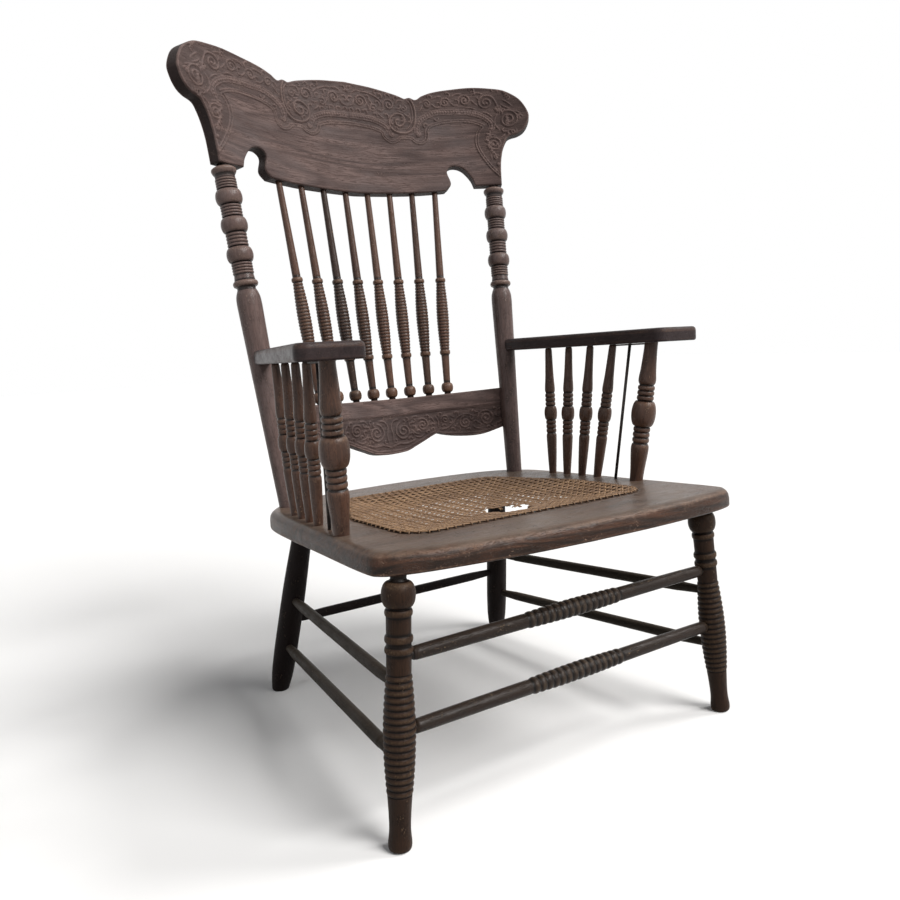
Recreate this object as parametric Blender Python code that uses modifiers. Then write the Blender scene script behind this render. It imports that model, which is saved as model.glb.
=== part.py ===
"""A pressed-back spindle armchair in oak, with a hand-caned seat that has torn through.

Metres, +Z up. The chair faces -Y and stands on z = 0, centred on the origin.
Left is -X and right is +X, as seen by someone who stands in front of the chair.
"""
import math

import bmesh
import bpy
from mathutils import Matrix, Vector

# Clearance between two pieces that meet.
GAP = 0.0003

# Seat frame: a board, lower at the back, with an opening for the cane.
SEAT_TOP = 0.3433
SEAT_SLOPE = math.radians(2.119)
SEAT_THICKNESS = 0.028
SEAT_ROUNDING = 0.005
SEAT_FRONT_Y = -0.329
SEAT_BOW = 0.032
SEAT_HALF_FRONT = 0.291
SEAT_HALF_MIDDLE = 0.286
SEAT_CORNER = 0.034
SEAT_CORNER_EASE = 0.003
SEAT_WAIST = 0.012
SEAT_SKEW = 0.012
SEAT_RIGHT_REACH = 0.012
SEAT_BACK_Y = 0.226
SEAT_SHOULDER_Y = 0.093

# Cane: a thin woven panel that lies on the frame, with a row of gaps and one tear.
CANE_FRONT_INSET = 0.105
CANE_BACK_INSET = 0.106
CANE_SIDE_INSET = 0.078
CANE_REAR_INSET = 0.136
CANE_FRONT_Y = SEAT_FRONT_Y + CANE_FRONT_INSET
CANE_BACK_Y = SEAT_BACK_Y - CANE_BACK_INSET
CANE_HALF_FRONT = SEAT_HALF_FRONT - CANE_SIDE_INSET
CANE_HALF_BACK = SEAT_HALF_MIDDLE - CANE_REAR_INSET
CANE_CORNER = 0.045
CANE_THICKNESS = 0.0024
CANE_LAP = 0.011
CANE_PITCH = 0.042
CANE_GAP = 0.022
TEAR_INSET = 0.076
TEAR_Y = CANE_FRONT_Y + TEAR_INSET
TEAR_HALF = 0.030

# The back: a frame of reference that leans, with its origin at the crest's lower edge.
LEAN = math.radians(9.0)
CREST_OVERHANG = 0.0622
CREST_Y = SEAT_BACK_Y + CREST_OVERHANG
CREST_Z = 0.8630
BACK_BEND = 0.560

# Crest rail and lower rail, both bent boards with raised carving.
CREST_HALF = 0.336
CREST_HEIGHT = 0.2045
CREST_THICKNESS = 0.022
RELIEF = 0.0034
RELIEF_SUNK = 0.0007
RAIL_TOP = -0.3795
RAIL_THICKNESS = 0.020
RAIL_HEIGHT = 0.1005
RAIL_LINE = 0.0285
RAIL_TENON_THICKNESS = 0.009
RAIL_TENON_HEIGHT = 0.036
RAIL_TENON_DROP = 0.048
RAIL_TENON_LENGTH = 0.012

# Back posts.
POST_SIDE_INSET = 0.058
POST_BACK_INSET = 0.083
POST_TOP_INSET = 0.072
POST_BASE_X = SEAT_HALF_MIDDLE - POST_SIDE_INSET
POST_BASE_Y = SEAT_BACK_Y - POST_BACK_INSET
POST_TOP_X = CREST_HALF - POST_TOP_INSET
POST_TOP_RISE = 0.0095
POST_BASE_R = 0.0145
POST_SHOULDER_R = 0.0195
POST_SHOULDER = 0.335
POST_BALL_R = 0.0210
POST_NECK_R = 0.0155
POST_RING_R = 0.0185
POST_TOP_WALL = 0.0030
POST_TOP_R = CREST_THICKNESS / 2 - POST_TOP_WALL
POST_COLLAR_DROP = 0.0105
POST_BALL_HALF = 0.0125
POST_BALL_SHARES = (0.3515, 0.5817, 0.7970)

# Back spindles, fanned out between the lower rail and the crest.
SPINDLE_COUNT = 8
SPINDLE_PITCH_LOW = 0.0372
SPINDLE_PITCH_HIGH = 0.0445
SPINDLE_FOOT_R = 0.0060
SPINDLE_BALL = 0.0125
SPINDLE_BALL_R = 0.01125
SPINDLE_NECK_R = 0.0066
SPINDLE_LOW_RING = 0.0797
SPINDLE_HIGH_RING = 0.2172
SPINDLE_RING_R = 0.0096
SPINDLE_RIBS = 11
SPINDLE_RIB_R = 0.0115
SPINDLE_TOP_R = 0.00525

# Arms.
ARM_UNDER = 0.5702
ARM_SLOPE = math.radians(1.146)
ARM_THICKNESS = 0.022
ARM_FRONT_REACH = 0.050
ARM_REAR_IN = 0.0103
ARM_REAR_OUT = 0.0137
ARM_FRONT_IN = 0.0335
ARM_FRONT_OUT = 0.0605
ARM_CORNER = 0.012
ARM_ROUNDING = 0.0035
ARM_DOWEL_R = 0.0045
ARM_DOWEL_LENGTH = 0.030

# Arm posts and arm spindles: where they stand on the seat and where they meet the arm.
ARM_POST_SIDE_INSET = 0.0195
ARM_POST_FRONT_INSET = 0.189
ARM_POST_SPLAY = (0.015, -0.024)
ARM_POST_BASE = (SEAT_HALF_MIDDLE - ARM_POST_SIDE_INSET, SEAT_FRONT_Y + ARM_POST_FRONT_INSET)
ARM_POST_TOP = (ARM_POST_BASE[0] + ARM_POST_SPLAY[0], ARM_POST_BASE[1] + ARM_POST_SPLAY[1])
ARM_POST_BASE_R = 0.0108
ARM_POST_SHOULDER_R = 0.0145
ARM_POST_RING_R = 0.0137
ARM_POST_BALL_R = 0.0198
ARM_POST_TOP_R = 0.0108
ARM_POST_BALL = 0.1115

ARM_SPINDLE_COUNT = 4
ARM_SPINDLE_SIDE_INSET = 0.0348
ARM_SPINDLE_BACK_INSET = 0.171
ARM_SPINDLE_SPLAY = (0.0093, 0.0135)
ARM_SPINDLE_BASE = (SEAT_HALF_MIDDLE - ARM_SPINDLE_SIDE_INSET, SEAT_BACK_Y - ARM_SPINDLE_BACK_INSET)
ARM_SPINDLE_BASE_STEP = (0.0032, -0.0360)
ARM_SPINDLE_TOP = (ARM_SPINDLE_BASE[0] + ARM_SPINDLE_SPLAY[0], ARM_SPINDLE_BASE[1] + ARM_SPINDLE_SPLAY[1])
ARM_SPINDLE_TOP_STEP = (0.0048, -0.0507)
ARM_SPINDLE_BASE_R = 0.0066
ARM_SPINDLE_SHOULDER_R = 0.0093
ARM_SPINDLE_BALL_R = 0.0115
ARM_SPINDLE_TOP_R = 0.0049
ARM_SPINDLE_BALL = 0.1100

# Iron repair rods with a small plate under each arm.
ROD_BASE_SHIFT = (-0.0033, 0.0445)
ROD_TOP_SHIFT = (-0.0055, 0.0420)
ROD_BASE = (ARM_POST_BASE[0] + ROD_BASE_SHIFT[0], ARM_POST_BASE[1] + ROD_BASE_SHIFT[1])
ROD_TOP = (ARM_POST_TOP[0] + ROD_TOP_SHIFT[0], ARM_POST_TOP[1] + ROD_TOP_SHIFT[1])
ROD_R = 0.0025
PLATE_LENGTH = 0.052
PLATE_WIDTH = 0.012
PLATE_THICKNESS = 0.0025

# Legs: each runs from its foot to a point below the seat.
FRONT_LEG_INSET = (0.0305, 0.0515)
FRONT_LEG_SPLAY = (0.0265, -0.0155)
FRONT_TOP = (SEAT_HALF_FRONT - FRONT_LEG_INSET[0], SEAT_FRONT_Y + FRONT_LEG_INSET[1])
FRONT_FOOT = (FRONT_TOP[0] + FRONT_LEG_SPLAY[0], FRONT_TOP[1] + FRONT_LEG_SPLAY[1])
FRONT_NECK_R = 0.0095
FRONT_BALL_R = 0.0205
FRONT_RING_R = 0.0165
FRONT_SHAFT_R = 0.0150
FRONT_RIBS = 12
FRONT_RIB_R = 0.0196
FRONT_ANKLE_R = 0.0130
FRONT_FOOT_R = 0.0142
BACK_LEG_INSET = (0.0895, 0.067)
BACK_LEG_SPLAY = (0.038, 0.0735)
BACK_TOP = (SEAT_HALF_MIDDLE - BACK_LEG_INSET[0], SEAT_BACK_Y - BACK_LEG_INSET[1])
BACK_FOOT = (BACK_TOP[0] + BACK_LEG_SPLAY[0], BACK_TOP[1] + BACK_LEG_SPLAY[1])
BACK_TOP_R = 0.0155
BACK_MID_R = 0.0196
BACK_FOOT_R = 0.0148
LEG_SOCKET = 0.016

# Stretchers, by the height where each meets the leg's axis.
FRONT_UPPER_Z = 0.228
FRONT_LOWER_Z = 0.140
SIDE_UPPER_FRONT_Z = 0.193
SIDE_UPPER_BACK_Z = 0.167
SIDE_LOWER_FRONT_Z = 0.107
SIDE_LOWER_BACK_Z = 0.0825
BACK_STRETCHER_Z = 0.129
FRONT_STRETCHER_R = 0.0092
FRONT_STRETCHER_RIB_R = 0.0120
FRONT_STRETCHER_RIBS = 10
FRONT_STRETCHER_RIB_HALF = 0.080
SIDE_STRETCHER_R = 0.0082
STRETCHER_END_R = 0.0062
STRETCHER_STOP = 0.007

# How deep round ends sit in the boards.
SEAT_SOCKET = 0.014
ARM_SOCKET = 0.011
CREST_SOCKET = 0.016
RAIL_SOCKET = 0.010

# Sides of the turned pieces.
THIN_SIDES = 7
THICK_SIDES = 9

for old in list(bpy.data.objects):
    bpy.data.objects.remove(old, do_unlink=True)

chair = bpy.data.collections.new("pressed_back_armchair")
tools = bpy.data.collections.new("cutters")
bpy.context.scene.collection.children.link(chair)
bpy.context.scene.collection.children.link(tools)


def finish(name, colour, roughness, metallic=0.0):
    """A plain surface colour for one kind of piece."""
    material = bpy.data.materials.new(name)
    material.use_nodes = True
    shader = material.node_tree.nodes["Principled BSDF"]
    shader.inputs["Base Color"].default_value = (*colour, 1.0)
    shader.inputs["Roughness"].default_value = roughness
    shader.inputs["Metallic"].default_value = metallic
    return material


GREY_OAK = finish("worn_grey_oak", (0.10, 0.075, 0.062), 0.55)
SEAT_OAK = finish("worn_seat_oak", (0.11, 0.088, 0.070), 0.6)
RED_OAK = finish("brown_turned_oak", (0.085, 0.045, 0.028), 0.45)
DARK_OAK = finish("dark_leg_oak", (0.040, 0.022, 0.015), 0.45)
BLACK_OAK = finish("blackened_oak", (0.018, 0.012, 0.010), 0.55)
RUNG_OAK = finish("grey_rung_oak", (0.080, 0.064, 0.050), 0.6)
CANE = finish("aged_cane", (0.28, 0.18, 0.10), 0.6)
IRON = finish("dark_iron", (0.035, 0.033, 0.032), 0.5, 0.8)


def place(name, mesh, material, matrix=None):
    """Puts a mesh in the chair as one named piece."""
    mesh.name = name
    mesh.materials.clear()
    mesh.materials.append(material)
    piece = bpy.data.objects.new(name, mesh)
    chair.objects.link(piece)
    if matrix is not None:
        piece.matrix_world = matrix
    return piece


def as_cutter(name, mesh, matrix=None):
    """Keeps a mesh as a tool that shapes another piece and isn't a piece itself."""
    cutter = bpy.data.objects.new(name, mesh)
    tools.objects.link(cutter)
    if matrix is not None:
        cutter.matrix_world = matrix
    cutter.hide_render = True
    cutter.display_type = "WIRE"
    return cutter


def combine(piece, cutter, operation, tool_crosses_itself=False):
    """Cuts a tool out of a piece, or joins it on."""
    step = piece.modifiers.new(operation.lower() + "_" + cutter.name, "BOOLEAN")
    step.operation = operation
    step.object = cutter
    step.solver = "EXACT"
    step.use_self = tool_crosses_itself


def evaluated_mesh(piece):
    """A new mesh of the piece as its modifiers make it, in its own frame."""
    bpy.context.view_layer.update()
    graph = bpy.context.evaluated_depsgraph_get()
    return bpy.data.meshes.new_from_object(piece.evaluated_get(graph), depsgraph=graph)


def axis_matrix(start, end):
    """The frame of a straight piece: its origin at the start, its Z towards the end."""
    turn = Vector((0, 0, 1)).rotation_difference(end - start)
    return Matrix.Translation(start) @ turn.to_matrix().to_4x4()


def seat_point(x, y, below=0.0):
    """A point on the seat's upper face, or that far below it."""
    return Vector((x, y, SEAT_TOP - math.tan(SEAT_SLOPE) * y - below))


def arm_point(x, y, above=0.0):
    """A point on the arm's lower face, or that far above it."""
    return Vector((x, y, ARM_UNDER - math.tan(ARM_SLOPE) * y + above))


def along(start, end, distance):
    """The point that far from the start, on the line to the end."""
    return start + (end - start).normalized() * distance


def at_height(foot, top, height):
    """The point of a leg's axis at a height over the floor."""
    return foot + (top - foot) * ((height - foot.z) / (top.z - foot.z))


def mirrored(point, side):
    """The same point on the chair's left side (-1) or right side (+1)."""
    return Vector((point.x * side, point.y, point.z))


def smooth(points, steps, closed=False):
    """Points of a curve that passes through the given points."""
    points = [Vector(p) for p in points]
    count = len(points)
    spans = count if closed else count - 1
    result = []
    for i in range(spans):
        b = points[i]
        c = points[(i + 1) % count]
        a = points[i - 1] if closed or i > 0 else b
        d = points[(i + 2) % count] if closed or i + 2 < count else c
        for k in range(steps):
            t = k / steps
            straight = 2 * b + (c - a) * t
            bend = (2 * a - 5 * b + 4 * c - d) * t ** 2 + (3 * b - a - 3 * c + d) * t ** 3
            result.append((straight + bend) / 2)
    if not closed:
        result.append(points[-1])
    return result


def rounded(points, radius, steps=3):
    """An outline whose corners are rounded by one radius."""
    result = []
    count = len(points)
    for i, corner in enumerate(points):
        corner = Vector(corner)
        before = (Vector(points[i - 1]) - corner).normalized()
        after = (Vector(points[(i + 1) % count]) - corner).normalized()
        opening = before.angle(after)
        if opening > math.radians(175):
            result.append(corner)
            continue
        reach = radius / math.tan(opening / 2)
        centre = corner + (before + after).normalized() * (radius / math.sin(opening / 2))
        first = corner + before * reach - centre
        last = corner + after * reach - centre
        for k in range(steps + 1):
            t = k / steps
            result.append(centre + first.slerp(last, t).normalized() * radius)
    return result


def board_mesh(outlines, thickness):
    """A flat board from closed outlines in X and Y, centred on z = 0; inner outlines are holes."""
    curve = bpy.data.curves.new("outline", "CURVE")
    curve.dimensions = "2D"
    curve.fill_mode = "BOTH"
    curve.extrude = thickness / 2
    for outline in outlines:
        spline = curve.splines.new("POLY")
        spline.points.add(len(outline) - 1)
        for point, where in zip(spline.points, outline):
            point.co = (where[0], where[1], 0.0, 1.0)
        spline.use_cyclic_u = True
    holder = bpy.data.objects.new("outline", curve)
    tools.objects.link(holder)
    mesh = evaluated_mesh(holder)
    bpy.data.objects.remove(holder, do_unlink=True)
    bm = bmesh.new()
    bm.from_mesh(mesh)
    bmesh.ops.remove_doubles(bm, verts=bm.verts, dist=0.00001)
    bmesh.ops.dissolve_limit(bm, angle_limit=0.001, verts=bm.verts, edges=bm.edges)
    bmesh.ops.recalc_face_normals(bm, faces=bm.faces)
    bm.to_mesh(mesh)
    bm.free()
    return mesh


def ridge_mesh(paths, radius, sides_level=0):
    """Round ridges that follow flat paths, for carving that stands up from a board."""
    curve = bpy.data.curves.new("ridge", "CURVE")
    curve.dimensions = "3D"
    curve.bevel_depth = radius
    curve.bevel_resolution = sides_level
    curve.use_fill_caps = True
    curve.resolution_u = 1
    curve.render_resolution_u = 0
    for path in paths:
        spline = curve.splines.new("POLY")
        spline.points.add(len(path) - 1)
        for point, where in zip(spline.points, path):
            point.co = (where[0], where[1], 0.0, 1.0)
    holder = bpy.data.objects.new("ridge", curve)
    tools.objects.link(holder)
    mesh = evaluated_mesh(holder)
    bpy.data.objects.remove(holder, do_unlink=True)
    bm = bmesh.new()
    bm.from_mesh(mesh)
    bmesh.ops.remove_doubles(bm, verts=bm.verts, dist=0.00001)
    bmesh.ops.recalc_face_normals(bm, faces=bm.faces)
    bm.to_mesh(mesh)
    bm.free()
    return mesh


def plugs(name, rods):
    """One tool made of straight round plugs, each given as its start, end, radius and sides."""
    bm = bmesh.new()
    quarter = Matrix.Rotation(-math.pi / 2, 4, "Z")
    for start, end, radius, sides in rods:
        length = (end - start).length
        frame = axis_matrix(start, end) @ Matrix.Translation((0, 0, length / 2)) @ quarter
        bmesh.ops.create_cone(
            bm, cap_ends=True, segments=sides, radius1=radius, radius2=radius, depth=length, matrix=frame)
    mesh = bpy.data.meshes.new(name)
    bm.to_mesh(mesh)
    bm.free()
    return as_cutter(name, mesh)


def box_mesh(name, width, depth, height):
    """A box centred on its own origin."""
    bm = bmesh.new()
    bmesh.ops.create_cube(bm, size=1.0)
    bmesh.ops.scale(bm, vec=(width, depth, height), verts=bm.verts)
    mesh = bpy.data.meshes.new(name)
    bm.to_mesh(mesh)
    bm.free()
    return mesh


def profile_mesh(name, profile):
    """The half section of a turned piece, from its top to its bottom on the outer side."""
    heights = [(0.0, profile[-1][0])]
    heights += [(radius, height) for height, radius in reversed(profile)]
    heights += [(0.0, profile[0][0])]
    mesh = bpy.data.meshes.new(name)
    corners = [(x, 0.0, z) for x, z in heights]
    mesh.from_pydata(corners, [(i, i + 1) for i in range(len(corners) - 1)], [])
    return mesh


def turn(piece, sides):
    """Turns a half section about its own Z."""
    screw = piece.modifiers.new("turn", "SCREW")
    screw.steps = sides
    screw.render_steps = sides
    screw.use_merge_vertices = True
    screw.merge_threshold = 0.00005
    screw.use_smooth_shade = True


def turned(name, profile, sides, start, end, material):
    """A turned piece: its profile is (height from the start, radius), bottom to top."""
    piece = place(name, profile_mesh(name, profile), material, axis_matrix(start, end))
    turn(piece, sides)
    return piece


def ball(centre, half, edge, crown):
    """A ball turned on a shaft, between two edges."""
    return [
        (centre - half, edge),
        (centre - 0.62 * half, edge + 0.80 * (crown - edge)),
        (centre, crown),
        (centre + 0.62 * half, edge + 0.80 * (crown - edge)),
        (centre + half, edge),
    ]


def rings(start, end, count, valley, crown):
    """A row of small rings that fills a stretch of the shaft."""
    pitch = (end - start) / count
    points = [(start, valley)]
    for i in range(count):
        points.append((start + (i + 0.5) * pitch, crown))
        points.append((start + (i + 1) * pitch, valley))
    return points


def ribs(start, end, count, first, middle, last, depth):
    """A swelling stretch with ribs all along it."""
    points = []
    for i in range(2 * count + 1):
        t = i / (2 * count)
        radius = first + (last - first) * t + (middle - (first + last) / 2) * math.sin(math.pi * t)
        points.append((start + (end - start) * t, radius - (depth if i % 2 == 0 else 0.0)))
    return points


def tidy_profile(points):
    """Drops a point that repeats the height of the one before it."""
    result = [points[0]]
    for point in points[1:]:
        if point[0] - result[-1][0] > 0.0004:
            result.append(point)
    return result


# The back's frame of reference and the bend that both rails share.
BACK = Matrix.Translation((0, CREST_Y, CREST_Z)) @ Matrix.Rotation(-LEAN, 4, "X")


def sag(x):
    """How far the bent back comes forward at that distance from the middle."""
    return BACK_BEND - math.sqrt(BACK_BEND ** 2 - x ** 2)


def back_point(x, height):
    """A point in the middle of the bent back, as world coordinates."""
    return BACK @ Vector((x, -sag(x), height))


def bent_board(name, half_outline, thickness, ridge_paths, material):
    """A board with raised carving on its front, bent to the back's curve.

    The outline and the carving are given for the right half, as distances across and up.
    """
    def unrolled(x, z):
        return (BACK_BEND * math.asin(x / BACK_BEND), z)

    right = [unrolled(x, z) for x, z in half_outline]
    left = [(-x, z) for x, z in reversed(right) if x > 0.0001]
    mesh = board_mesh([right + left], thickness)
    blank = bpy.data.objects.new(name + "_blank", mesh)
    tools.objects.link(blank)
    paths = []
    for path in ridge_paths:
        flat = [unrolled(x, z) for x, z in path]
        if flat[0][0] < 0.0001:
            flat = [(-x, z) for x, z in reversed(flat[1:])] + flat
            paths.append(flat)
        else:
            paths.append(flat)
            paths.append([(-x, z) for x, z in reversed(flat)])
    raised = Matrix.Translation((0, 0, thickness / 2 - RELIEF_SUNK))
    carving = as_cutter(name + "_carving", ridge_mesh(paths, RELIEF), raised)
    combine(blank, carving, "UNION", tool_crosses_itself=True)
    solid = evaluated_mesh(blank)
    bpy.data.objects.remove(blank, do_unlink=True)
    bpy.data.objects.remove(carving, do_unlink=True)
    bm = bmesh.new()
    bm.from_mesh(solid)
    reach = max(vertex.co.x for vertex in bm.verts)
    cuts = 7
    for i in range(1 - cuts, cuts):
        everything = bm.verts[:] + bm.edges[:] + bm.faces[:]
        bmesh.ops.bisect_plane(
            bm, geom=everything, dist=0.00002, plane_co=(reach * i / cuts, 0, 0), plane_no=(1, 0, 0))
    bmesh.ops.triangulate(bm, faces=bm.faces)
    for vertex in bm.verts:
        across, up, out = vertex.co
        swing = across / BACK_BEND
        radius = BACK_BEND - out
        vertex.co = (radius * math.sin(swing), radius * math.cos(swing) - BACK_BEND, up)
    bm.to_mesh(solid)
    bm.free()
    return place(name, solid, material, BACK)


# Seat frame and cane.
def askew(x, y):
    """Where a point of the seat's edge lies on the old board, whose right front corner reaches further."""
    front = max(0.0, (SEAT_SHOULDER_Y - y) / (SEAT_SHOULDER_Y - SEAT_FRONT_Y)) ** 2
    share = x / SEAT_HALF_FRONT
    reach = SEAT_RIGHT_REACH * front * max(0.0, share)
    return x + reach, y - SEAT_SKEW * front * share - reach * max(0.0, share)


def seat_outline():
    """The seat from above: bowed front, nearly straight sides, round back."""
    front_edge = SEAT_FRONT_Y + SEAT_BOW
    half = [
        (0.0, SEAT_FRONT_Y),
        (SEAT_HALF_FRONT * 0.36, SEAT_FRONT_Y + SEAT_BOW * 0.13),
        (SEAT_HALF_FRONT * 0.70, SEAT_FRONT_Y + SEAT_BOW * 0.52),
        (SEAT_HALF_FRONT - SEAT_CORNER, front_edge - SEAT_CORNER_EASE),
        (SEAT_HALF_FRONT - SEAT_CORNER * 0.22, front_edge + SEAT_CORNER * 0.35),
        (SEAT_HALF_FRONT, front_edge + SEAT_CORNER * 1.3),
        (SEAT_HALF_MIDDLE, (SEAT_SHOULDER_Y + SEAT_FRONT_Y) / 2),
        (SEAT_HALF_MIDDLE - SEAT_WAIST, SEAT_SHOULDER_Y),
        (SEAT_HALF_MIDDLE * 0.86, SEAT_SHOULDER_Y + 0.52 * (SEAT_BACK_Y - SEAT_SHOULDER_Y)),
        (SEAT_HALF_MIDDLE * 0.70, SEAT_SHOULDER_Y + 0.79 * (SEAT_BACK_Y - SEAT_SHOULDER_Y)),
        (SEAT_HALF_MIDDLE * 0.42, SEAT_SHOULDER_Y + 0.94 * (SEAT_BACK_Y - SEAT_SHOULDER_Y)),
        (0.0, SEAT_BACK_Y),
    ]
    right = smooth([(x, y, 0.0) for x, y in half], 2)
    whole = [(p.x, p.y) for p in right] + [(-p.x, p.y) for p in reversed(right[1:-1])]
    return [askew(x, y) for x, y in whole]


def cane_outline(inset):
    """The cane's edge from above, or a line that far inside it."""
    front_x = CANE_HALF_FRONT - inset
    back_x = CANE_HALF_BACK - inset
    front_y = CANE_FRONT_Y + inset
    back_y = CANE_BACK_Y - inset
    corners = [
        (-front_x, front_y), (0.0, front_y), (front_x, front_y),
        (front_x, front_y * 0.25), (back_x, back_y), (-back_x, back_y), (-front_x, front_y * 0.25),
    ]
    return [(p.x, p.y) for p in rounded([(x, y, 0.0) for x, y in corners], CANE_CORNER - inset)]


SEAT_TILT = Matrix.Translation((0, 0, SEAT_TOP)) @ Matrix.Rotation(-SEAT_SLOPE, 4, "X")

seat = place(
    "seat_frame", board_mesh([seat_outline(), cane_outline(CANE_LAP)], SEAT_THICKNESS), SEAT_OAK,
    SEAT_TILT @ Matrix.Translation((0, 0, -SEAT_THICKNESS / 2)))
edge = seat.modifiers.new("rounded_edge", "BEVEL")
edge.width = SEAT_ROUNDING
edge.segments = 2
edge.limit_method = "ANGLE"
edge.angle_limit = math.radians(60)


def inside(point, outline):
    """Whether a point lies within a closed outline."""
    odd = False
    for (x1, y1), (x2, y2) in zip(outline, outline[1:] + outline[:1]):
        if (y1 > point[1]) != (y2 > point[1]):
            if point[0] < x1 + (point[1] - y1) * (x2 - x1) / (y2 - y1):
                odd = not odd
    return odd


def cane_holes():
    """The gaps of the weave, and the ragged tear in place of the gaps that it took away."""
    margin = cane_outline(CANE_LAP + CANE_GAP)
    columns = int(CANE_HALF_FRONT / CANE_PITCH) + 1
    holes = []
    for i in range(-columns, columns + 1):
        for j in range(-columns, columns + 1):
            x = i * CANE_PITCH
            y = (CANE_FRONT_Y + CANE_BACK_Y) / 2 + j * CANE_PITCH
            if not inside((x, y), margin):
                continue
            if abs(x) < TEAR_HALF + CANE_GAP and abs(y - TEAR_Y) < TEAR_HALF + CANE_GAP:
                continue
            holes.append([
                (x + CANE_GAP / 2 * math.cos(a), y + CANE_GAP / 2 * math.sin(a))
                for a in (0.0, math.pi / 2, math.pi, 1.5 * math.pi)])
    tear = []
    for k in range(14):
        angle = k * math.tau / 14
        reach = TEAR_HALF * (1.0 if k % 2 else 0.66)
        tear.append((reach * math.cos(angle), TEAR_Y + reach * math.sin(angle)))
    return holes + [tear]


place(
    "cane_panel", board_mesh([cane_outline(0.0)] + cane_holes(), CANE_THICKNESS), CANE,
    SEAT_TILT @ Matrix.Translation((0, 0, GAP + CANE_THICKNESS / 2)))

# Crest rail: the outline of its right half, across from the middle and up from its lower edge,
# as shares of the rail's half width and height.
CREST_OUTLINE = [
    (0.0, 0.0), (0.2202, 0.0098), (0.3512, 0.0147), (0.5238, 0.0269), (0.5565, 0.088), (0.5417, 0.2005),
    (0.5655, 0.2469), (0.6012, 0.2494), (0.6369, 0.2176), (0.6726, 0.1345), (0.6875, 0.0562),
    (0.8274, 0.0416), (0.8363, 0.2249), (0.8512, 0.3472), (0.872, 0.4401), (0.8929, 0.4866),
    (0.9375, 0.5037), (0.9702, 0.5379),
    (0.994, 0.6088), (1, 0.6895), (0.9673, 0.8191), (0.9077, 0.9095), (0.8482, 0.9487), (0.7292, 0.9804),
    (0.5952, 0.9707), (0.506, 0.9487), (0.4464, 0.9144), (0.4137, 0.8826), (0.381, 0.9022), (0.3512, 0.89),
    (0.2827, 0.9315), (0.1488, 0.978), (0.0, 1),
]


def spiral(x, z, radius, turns, start, direction, steps):
    """A scroll that winds in to its centre."""
    points = []
    for k in range(steps + 1):
        t = k / steps
        reach = radius * (1.0 - 0.80 * t)
        angle = start + direction * turns * math.tau * t
        points.append((x + reach * math.cos(angle), z + reach * math.sin(angle)))
    return points


def flat(points, steps):
    """A smooth carved line through points given across and up."""
    return [(p.x, p.y) for p in smooth([(x, z, 0.0) for x, z in points], steps)]


CREST_LINES = [
    [(0.0, 0.910), (0.134, 0.890), (0.262, 0.841), (0.321, 0.782)],
    [(0.0, 0.802), (0.125, 0.782), (0.238, 0.729), (0.286, 0.665)],
    [(0.446, 0.807), (0.512, 0.861), (0.610, 0.890), (0.729, 0.895), (0.804, 0.861)],
    [(0.461, 0.704), (0.536, 0.753), (0.625, 0.778), (0.714, 0.778), (0.780, 0.733)],
    [(0.702, 0.147), (0.679, 0.303), (0.613, 0.411), (0.631, 0.567), (0.780, 0.489), (0.804, 0.147)],
]
CREST_SCROLLS = [
    (0.381, 0.753, 0.068, 1.4, 1.6, -1, 9),
    (0.899, 0.694, 0.127, 1.7, 2.3, -1, 13),
    (0.738, 0.381, 0.054, 1.3, 0.4, 1, 8),
]


def sized(shares, width, height):
    """Points given as shares of a width and a height, as lengths."""
    return [(x * width, z * height) for x, z in shares]


def scrolls(shares, width, height, top=0.0):
    """Scrolls given as shares of a width and a height; their sizes are shares of the height."""
    return [
        spiral(x * width, top + z * height, reach * height, turns, start, way, steps)
        for x, z, reach, turns, start, way, steps in shares
    ]


crest_carving = [flat(sized(line, CREST_HALF, CREST_HEIGHT), 2) for line in CREST_LINES]
crest_carving += scrolls(CREST_SCROLLS, CREST_HALF, CREST_HEIGHT)
crest = bent_board(
    "crest_rail", sized(CREST_OUTLINE, CREST_HALF, CREST_HEIGHT), CREST_THICKNESS, crest_carving, GREY_OAK)

# The back posts' axes: each runs from its start on the seat to its end under the crest.
post_axis = {}
for side in (-1, 1):
    post_axis[side] = (
        mirrored(seat_point(POST_BASE_X, POST_BASE_Y), side),
        mirrored(back_point(POST_TOP_X, POST_TOP_RISE), side))

# Lower rail: its outline hangs from its straight upper edge, as shares of its half width and height.
# It ends on the posts' axes.
RAIL_OUTLINE = [
    (0.0, -1.0), (0.131, -0.975), (0.212, -0.905), (0.284, -0.836), (0.364, -0.751), (0.415, -0.706),
    (0.487, -0.761), (0.614, -0.816), (0.771, -0.836), (0.919, -0.761), (1.0, -0.706), (1.0, 0.0),
    (0.508, 0.0), (0.0, 0.0),
]
RAIL_SCROLLS = [
    (0.110, -0.617, 0.179, 1.5, 2.8, -1, 11),
    (0.331, -0.527, 0.119, 1.4, 0.3, 1, 8),
    (0.542, -0.567, 0.129, 1.4, 2.8, -1, 8),
    (0.754, -0.567, 0.139, 1.4, 0.3, 1, 8),
]
rail_half = at_height(*post_axis[1], back_point(POST_BASE_X, RAIL_TOP - RAIL_TENON_DROP).z).x
line_height = RAIL_TOP - RAIL_LINE
rail_carving = [[(0.0, line_height), (0.466 * rail_half, line_height), (0.898 * rail_half, line_height)]]
rail_carving += scrolls(RAIL_SCROLLS, rail_half, RAIL_HEIGHT, RAIL_TOP)
rail = bent_board(
    "lower_back_rail", [(x, RAIL_TOP + z) for x, z in sized(RAIL_OUTLINE, rail_half, RAIL_HEIGHT)],
    RAIL_THICKNESS, rail_carving, GREY_OAK)

# Lists of the round ends that sit in each board, filled as the pieces are made.
seat_ends = []
arm_ends = {-1: [], 1: []}
crest_ends = []
rail_ends = []
leg_ends = {}
post_ends = {-1: [], 1: []}


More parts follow.
